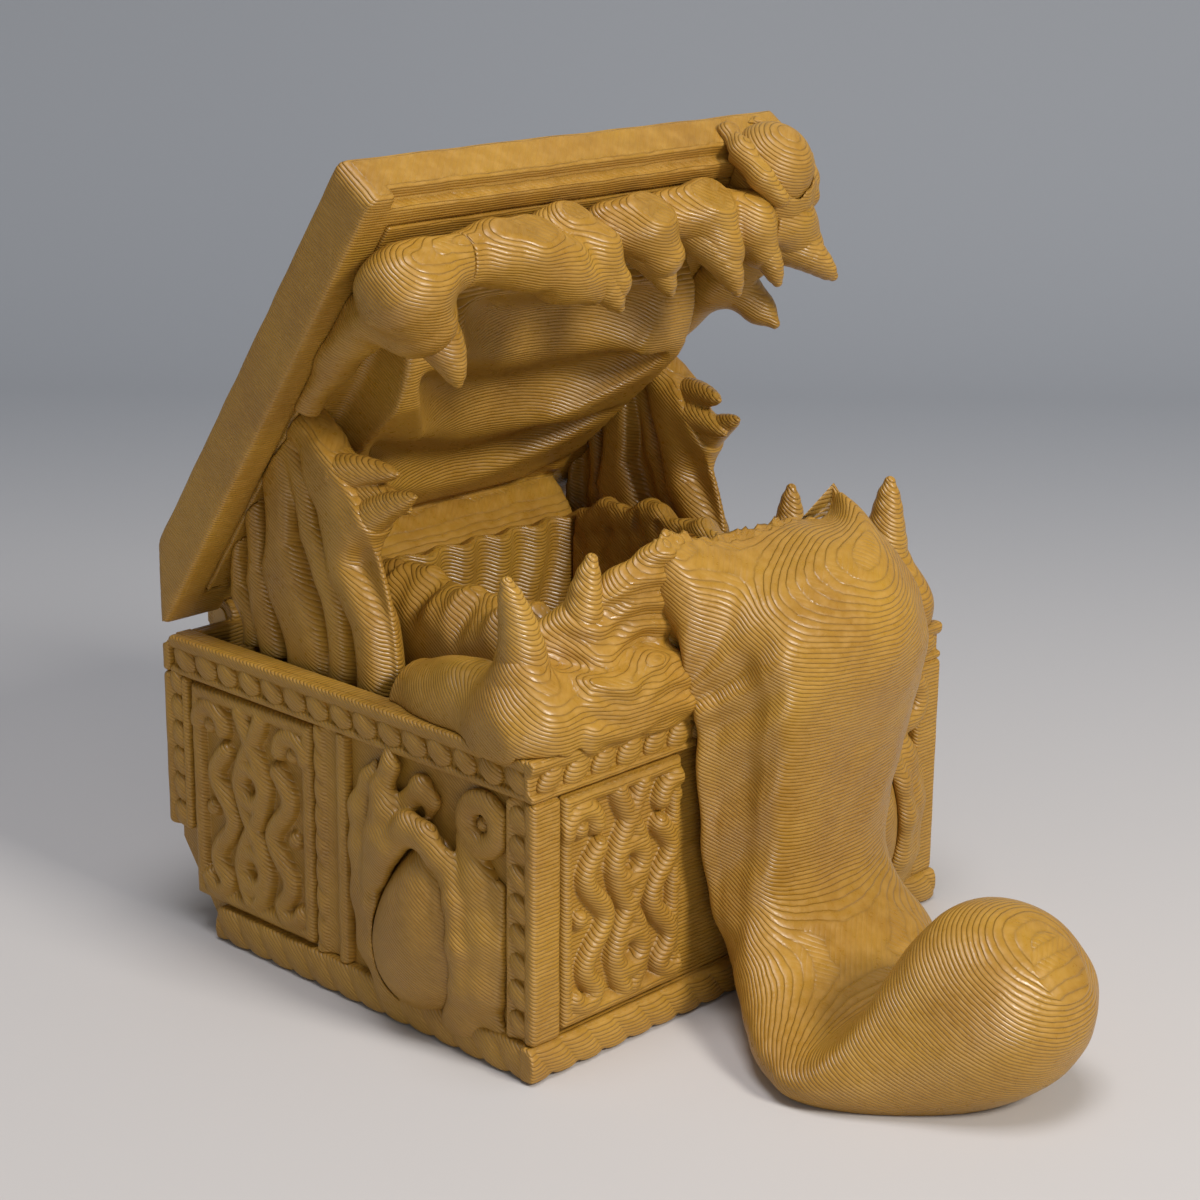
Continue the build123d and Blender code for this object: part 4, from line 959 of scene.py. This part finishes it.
lid = Clay((-24.6, -47.1, -2.4), (24.6, 2.4, 5.0), 0.26)
lid.d = brick(lid, (-HALF_W, -LID, 0), (HALF_W, FAR, LID_THICK), 0.55)
lid.keep(brick(lid, (-HALF_W, -LID, -FAR), (HALF_W, FAR, FAR), 1.3))
mitre = LID_THICK / math.tan(math.radians(90) - LID_OPEN)
lid.keep((lid.y * LID_THICK + lid.z * mitre) / math.hypot(LID_THICK, mitre) + 0 * lid.x, 0.3)
lid.press(brick(lid, (-21, -TRAY, -9), (21, -4, 2.3)), 0.2)
lid.press(brick(lid, (-21.5, -FAR, -9), (21.5, -45.3, 1.0)), 0.3)
lid.waver(0.03, 4.0, 101)
for low, high in ((-21, -2), (2, 21)):
    lid.press(brick(lid, (low, -TRAY, 3.9), (high, -9.4, FAR), 0.2), 0.35)
knuckles(lid, 0, 0, 1, PIN_LOOSE)
cast("lid_shell", lid, on_lid)


# ------------------------------------------------------------------ palate
# The roof of the mouth, seated in the tray: a vault that deepens towards the front, with
# sweeping ridges across it, and a curved skirt about the hinge that closes the throat.
RIDGE = 8.4             # mm, from one ridge of the vault to the next
VAULT = 16.1            # half width of the vault and of the skirt
roof = Clay((-21.3, -43.8, -8.9), (21.3, -2.2, 2.7), 0.27)
along = (-roof.y - 10) / 25
deep = 0.5 + np.clip(along, 0, 1.1) * 5.9
roof.d = brick(roof, (-20.9, -43.4, 0), (20.9, -4.1, 2.3))
fades = np.sqrt(np.clip((35.2 + roof.y) / 7, 0, 1))
roof.add(np.maximum(brick(roof, (-VAULT, -35.2, -9), (VAULT, -10, 2.3)), -deep * fades - roof.z), 1.2)
swept = -roof.y - 0.030 * roof.x ** 2 + 0.12 * roof.x
ridges = 0.5 + 0.5 * np.sin(2 * math.pi * swept / RIDGE)
arch = np.sqrt((roof.x / 14.6) ** 2 + ((roof.z + deep) / (deep + 0.35)) ** 2) - 1
roof.press(arch * deep + 1.3 * ridges, 0.6)
reach = np.sqrt(roof.y ** 2 + roof.z ** 2)
skirt = np.maximum(np.abs(reach - 7.6) - 1.1, np.maximum(roof.z - 0.5, 0.94 * roof.y - 0.342 * roof.z))
roof.add(np.maximum(skirt, np.abs(roof.x) - VAULT))
roof.waver(0.04, 4.5, 141)
cast("palate", roof, on_lid)


# ------------------------------------------------------------------ upper gums and fangs
# The same lumpy flesh under the lid's front edge and corners, printed with it.  Its fangs
# are short, broad and hooked, and point back into the mouth.
UPPER_FANGS = [         # root, tip and radius, in the lid's axes
    ((-17.9, -37.9, -3.6), (-16.3, -35.2, -8.5), 2.4),
    ((-5.6, -42.3, -2.6), (-1.2, -39.6, -7.9), 2.6),
    ((2.5, -42.3, -2.6), (5.8, -39.1, -6.9), 2.2),
    ((10.1, -42.1, -3.2), (12.6, -39.2, -8.2), 2.2),
    ((15.6, -41.8, -3.4), (17.8, -39.2, -8.0), 1.8),
    ((20.8, -39.7, -3.0), (25.0, -38.9, -8.2), 2.3),
]


def upper_gum(low_x, high_x, inner):
    """The gum between two places across, with all behind it taken away as far out as inner."""
    clay = Clay((low_x - 0.5, -45.8, -8.6), (high_x + 0.5, -24.7, 1.4), 0.17)
    clay.d = chain(clay, [(-20.4, -25.0, -0.2, 1.1), (-20.3, -31.0, -0.4, 1.4),
                          (-20.0, -36.0, -1.6, 2.3)], 1.5)
    clay.limbs([(-20.4, -40.4, -3.6, 3.7), (-19.0, -38.6, -4.6, 3.0)], 1.8)
    clay.limbs([(-18.4, -42.0, -3.4, 2.4), (-15.6, -42.4, -3.0, 1.9), (-12.6, -42.7, -3.2, 2.4),
                (-9.8, -42.8, -3.8, 2.7), (-6.6, -41.8, -5.0, 2.4), (-3.6, -40.6, -5.9, 1.8)], 0.9, 0.8)
    clay.limbs([(-5.0, -43.2, -2.6, 2.3), (-3.0, -42.2, -4.4, 2.4), (-1.6, -40.8, -6.2, 1.7)], 0.6, 0.6)
    clay.limbs([(0.6, -42.4, -2.0, 2.0), (3.2, -43.2, -3.4, 2.5), (4.6, -41.6, -5.2, 1.9)], 0.7, 0.7)
    clay.limbs([(7.0, -42.4, -2.0, 2.0), (10.6, -43.3, -2.9, 2.5), (11.7, -41.3, -5.6, 1.9)], 0.7, 0.7)
    clay.limbs([(13.6, -42.4, -2.2, 2.0), (15.6, -42.6, -3.8, 2.2), (16.6, -41.0, -5.6, 1.7)], 0.7, 0.7)
    clay.limbs([(18.0, -42.4, -2.4, 2.2), (21.4, -41.2, -3.4, 2.7), (23.0, -39.8, -5.0, 2.0)], 0.9, 0.8)
    clay.limbs([(22.0, -38.0, -2.2, 2.4), (21.2, -32.0, -1.0, 1.8), (20.4, -25.0, -0.2, 1.1)], 1.4, 1.2)
    clay.limbs([(22.6, -32.6, -2.4, 2.0), (23.6, -32.2, -4.6, 1.3), (24.0, -32.0, -6.6, 0.45)], 0.8)
    clay.waver(0.13, 3.0, 91)
    clay.keep(brick(clay, (low_x, -45.2, -8.2), (high_x, -25.3, -0.02)), 0.1)
    clay.press(brick(clay, (-inner, -35.1, -FAR), (inner, 9, FAR)))
    return clay


cast("upper_left_gum", upper_gum(-24.2, -16.0, 16.2), on_lid)
cast("upper_front_gum", upper_gum(-15.9, 18.4, FAR), on_lid)
cast("upper_right_gum", upper_gum(18.5, 25.6, 18.5), on_lid)
for number, (root, tip, radius) in enumerate(UPPER_FANGS, start=1):
    fang("upper_fang_" + str(number), root, tip, radius, 0.45, (0, -0.5, -0.3), on_lid)


# ------------------------------------------------------------------ eye on the lid
# A smooth ball in the lid's front corner, half out of its face, between a hood on the left
# and a lid that ends in a lump over its right side.
EYE = (19.6, -44.9, -0.6)
ball = Clay((15.4, -49.2, -4.8), (23.8, -40.6, 3.6), 0.14)
ball.d = lump(ball, EYE, 3.7)
ball.press(brick(ball, (-FAR, -LID, 0), (FAR, FAR, LID_THICK)))
cast("lid_eye", ball, on_lid)
hood = Clay((13.6, -48.4, -6.6), (26.8, -40.0, 5.2), 0.15)
hood.limbs([(17.6, -45.8, 3.2, 0.6), (15.9, -46.4, 2.2, 0.9), (15.2, -46.7, -0.2, 1.05),
            (15.6, -46.2, -2.8, 1.0), (17.2, -45.2, -4.5, 0.8)], 0.4)
hood.limbs([(17.6, -45.8, 3.2, 0.6), (20.6, -46.0, 3.0, 0.75), (23.2, -45.4, 1.9, 0.9),
            (25.0, -44.6, 0.9, 1.1)], 0.4)
hood.limbs([(25.0, -44.6, 0.9, 1.1), (24.0, -44.2, -1.6, 0.9), (23.2, -43.6, -3.2, 0.8)], 0.4)
hood.lump((20.2, -43.2, -1.0), 4.0, 1.2)
hood.press(lump(hood, EYE, 3.76), 0.3)
hood.waver(0.08, 2.4, 151)
hood.press(brick(hood, (-FAR, -LID, 0), (FAR, FAR, LID_THICK)))
cast("lid_eyelids", hood, on_lid)


# ------------------------------------------------------------------ rear of the chest
# The rear rail carries three knuckles of the hinge; the rear posts stop above the sloped
# heel.  A cut length of the same filament is the hinge pin.
HEEL_ROPE = HALF_D - 1.6            # where the trough of a rear post runs
HEEL_BEAD = (0.88, 1.30, 0.56)
HEEL_SLANT = math.radians(28)
left_and_right("rear_post", post(HALF_D - POST, HEEL, HEEL_ROPE, 32, 0.13))
for side, sign in (("left", -1), ("right", 1)):
    beads(side + "_rear_rope", 6, (sign * (FACE_X + OFF_WALL), HEEL_ROPE, HEEL + 1.2),
          (0, 0, POST_TURN), (UPRIGHT, sign * -HEEL_SLANT, UPRIGHT), HEEL_BEAD, 44)

rear = Clay((-HALF_W - 0.5, 18.7, RAIL_BASE - 0.5), (HALF_W + 0.5, 23.6, 27.2), 0.2)
rear.d = brick(rear, (-HALF_W, FACE_Y, RAIL_BASE), (HALF_W, HALF_D, TOP), 0.35)
rear.add(brick(rear, (-21.7, 19.2, RAIL_BASE), (21.7, FACE_Y + 0.4, TOP)))
rear.waver(0.02, 3.0, 33)
knuckles(rear, HALF_D, TOP, 0, PIN_TIGHT)
cast("rear_rail", rear)


# ------------------------------------------------------------------ stage, light and camera
# A pale table that sweeps up into a grey wall.  The key lamp stands high in front of the
# box, a wide one hangs overhead, and a weak one fills in low on the left.
AWAY = Vector((0.722, 0.691, 0)).normalized()       # level, from the camera past the box
ASIDE = Vector((AWAY.y, -AWAY.x, 0))


def sweep():
    """The table and wall in one sheet: (distance away from the origin, height) along it."""
    line = [(-1.2, 0), (0.20, 0)]
    for turn in np.linspace(0, 1.5, 24)[1:]:
        line.append((0.20 + 0.10 * math.sin(turn), 0.10 - 0.10 * math.cos(turn)))
    line += [(0.33, 1.2)]
    points = []
    for away, height in line:
        for aside in (-1.5, 1.5):
            points.append(away * AWAY + aside * ASIDE + Vector((0, 0, height)))
    faces = [(2 * i, 2 * i + 1, 2 * i + 3, 2 * i + 2) for i in range(len(line) - 1)]
    mesh = bpy.data.meshes.new("sweep")
    mesh.from_pydata(points, [], faces)
    mesh.polygons.foreach_set("use_smooth", [True] * len(faces))
    mesh.update()
    plane = bpy.data.objects.new("sweep", mesh)
    bpy.context.scene.collection.objects.link(plane)
    material = bpy.data.materials.new("matt_card")
    material.use_nodes = True
    tree = material.node_tree
    tree.nodes.clear()
    where = add_node(tree, "ShaderNodeTexCoord").outputs["Object"]
    away = add_node(tree, "ShaderNodeVectorMath", where, AWAY, operation="DOT_PRODUCT")
    # darker away from the camera: partly the grey of the wall, partly painted shade for the light
    # falling off across the table
    wall_tone_and_painted_falloff = add_node(tree, "ShaderNodeMapRange", away, -0.08, 0.24, interpolation_type="SMOOTHSTEP")
    colour = add_node(tree, "ShaderNodeMix", wall_tone_and_painted_falloff, linear("C8C4C1"), linear("999CA1"), data_type="RGBA")
    shader = add_node(tree, "ShaderNodeBsdfDiffuse", colour)
    add_node(tree, "ShaderNodeOutputMaterial", shader)
    mesh.materials.append(material)


sweep()

world = bpy.data.worlds.new("studio")
bpy.context.scene.world = world
world.use_nodes = True
tree = world.node_tree
tree.nodes.clear()
sky = add_node(tree, "ShaderNodeBackground", linear("B4B9BF"), 0.42)
add_node(tree, "ShaderNodeOutputWorld", sky)


def lamp(name, place, aim, size, power, colour):
    light = bpy.data.lights.new(name, "AREA")
    light.size = size
    light.energy = power
    light.color = linear(colour)[:3]
    stand = bpy.data.objects.new(name, light)
    stand.location = place
    stand.rotation_euler = (Vector(aim) - Vector(place)).to_track_quat("-Z", "Y").to_euler()
    bpy.context.scene.collection.objects.link(stand)


lamp("key", (0.03, -0.44, 0.34), (0, 0, 0.02), 0.13, 2.0, "FFFAF2")
lamp("overhead", (-0.06, -0.06, 0.55), (0, 0, 0), 0.22, 1.5, "FAFAFF")
lamp("fill", (-0.30, -0.42, 0.08), (0, 0, 0.04), 0.16, 0.35, "FFFAF4")

AZIMUTH = math.radians(-46.30)
ELEVATION = math.radians(17.0)
ROLL = math.radians(0.51)
FRAME = 1200            # pixels across the square picture
FOCAL = 2612.2          # pixels
SENSOR = 36.0           # mm
level = math.cos(ELEVATION)
back = Vector((math.sin(AZIMUTH) * level, -math.cos(AZIMUTH) * level, math.sin(ELEVATION)))
right = Vector((0, 0, 1)).cross(back).normalized()
up = back.cross(right)
right, up = (math.cos(ROLL) * right + math.sin(ROLL) * up,
             -math.sin(ROLL) * right + math.cos(ROLL) * up)
lens = bpy.data.cameras.new("camera")
lens.sensor_width = SENSOR
lens.lens = SENSOR * FOCAL / FRAME
camera = bpy.data.objects.new("camera", lens)
pose = Matrix((right, up, back)).transposed().to_4x4()
pose.translation = (-0.14542, -0.14390, 0.08986)
camera.matrix_world = pose
bpy.context.scene.collection.objects.link(camera)
bpy.context.scene.camera = camera
bpy.context.scene.view_settings.view_transform = "Standard"
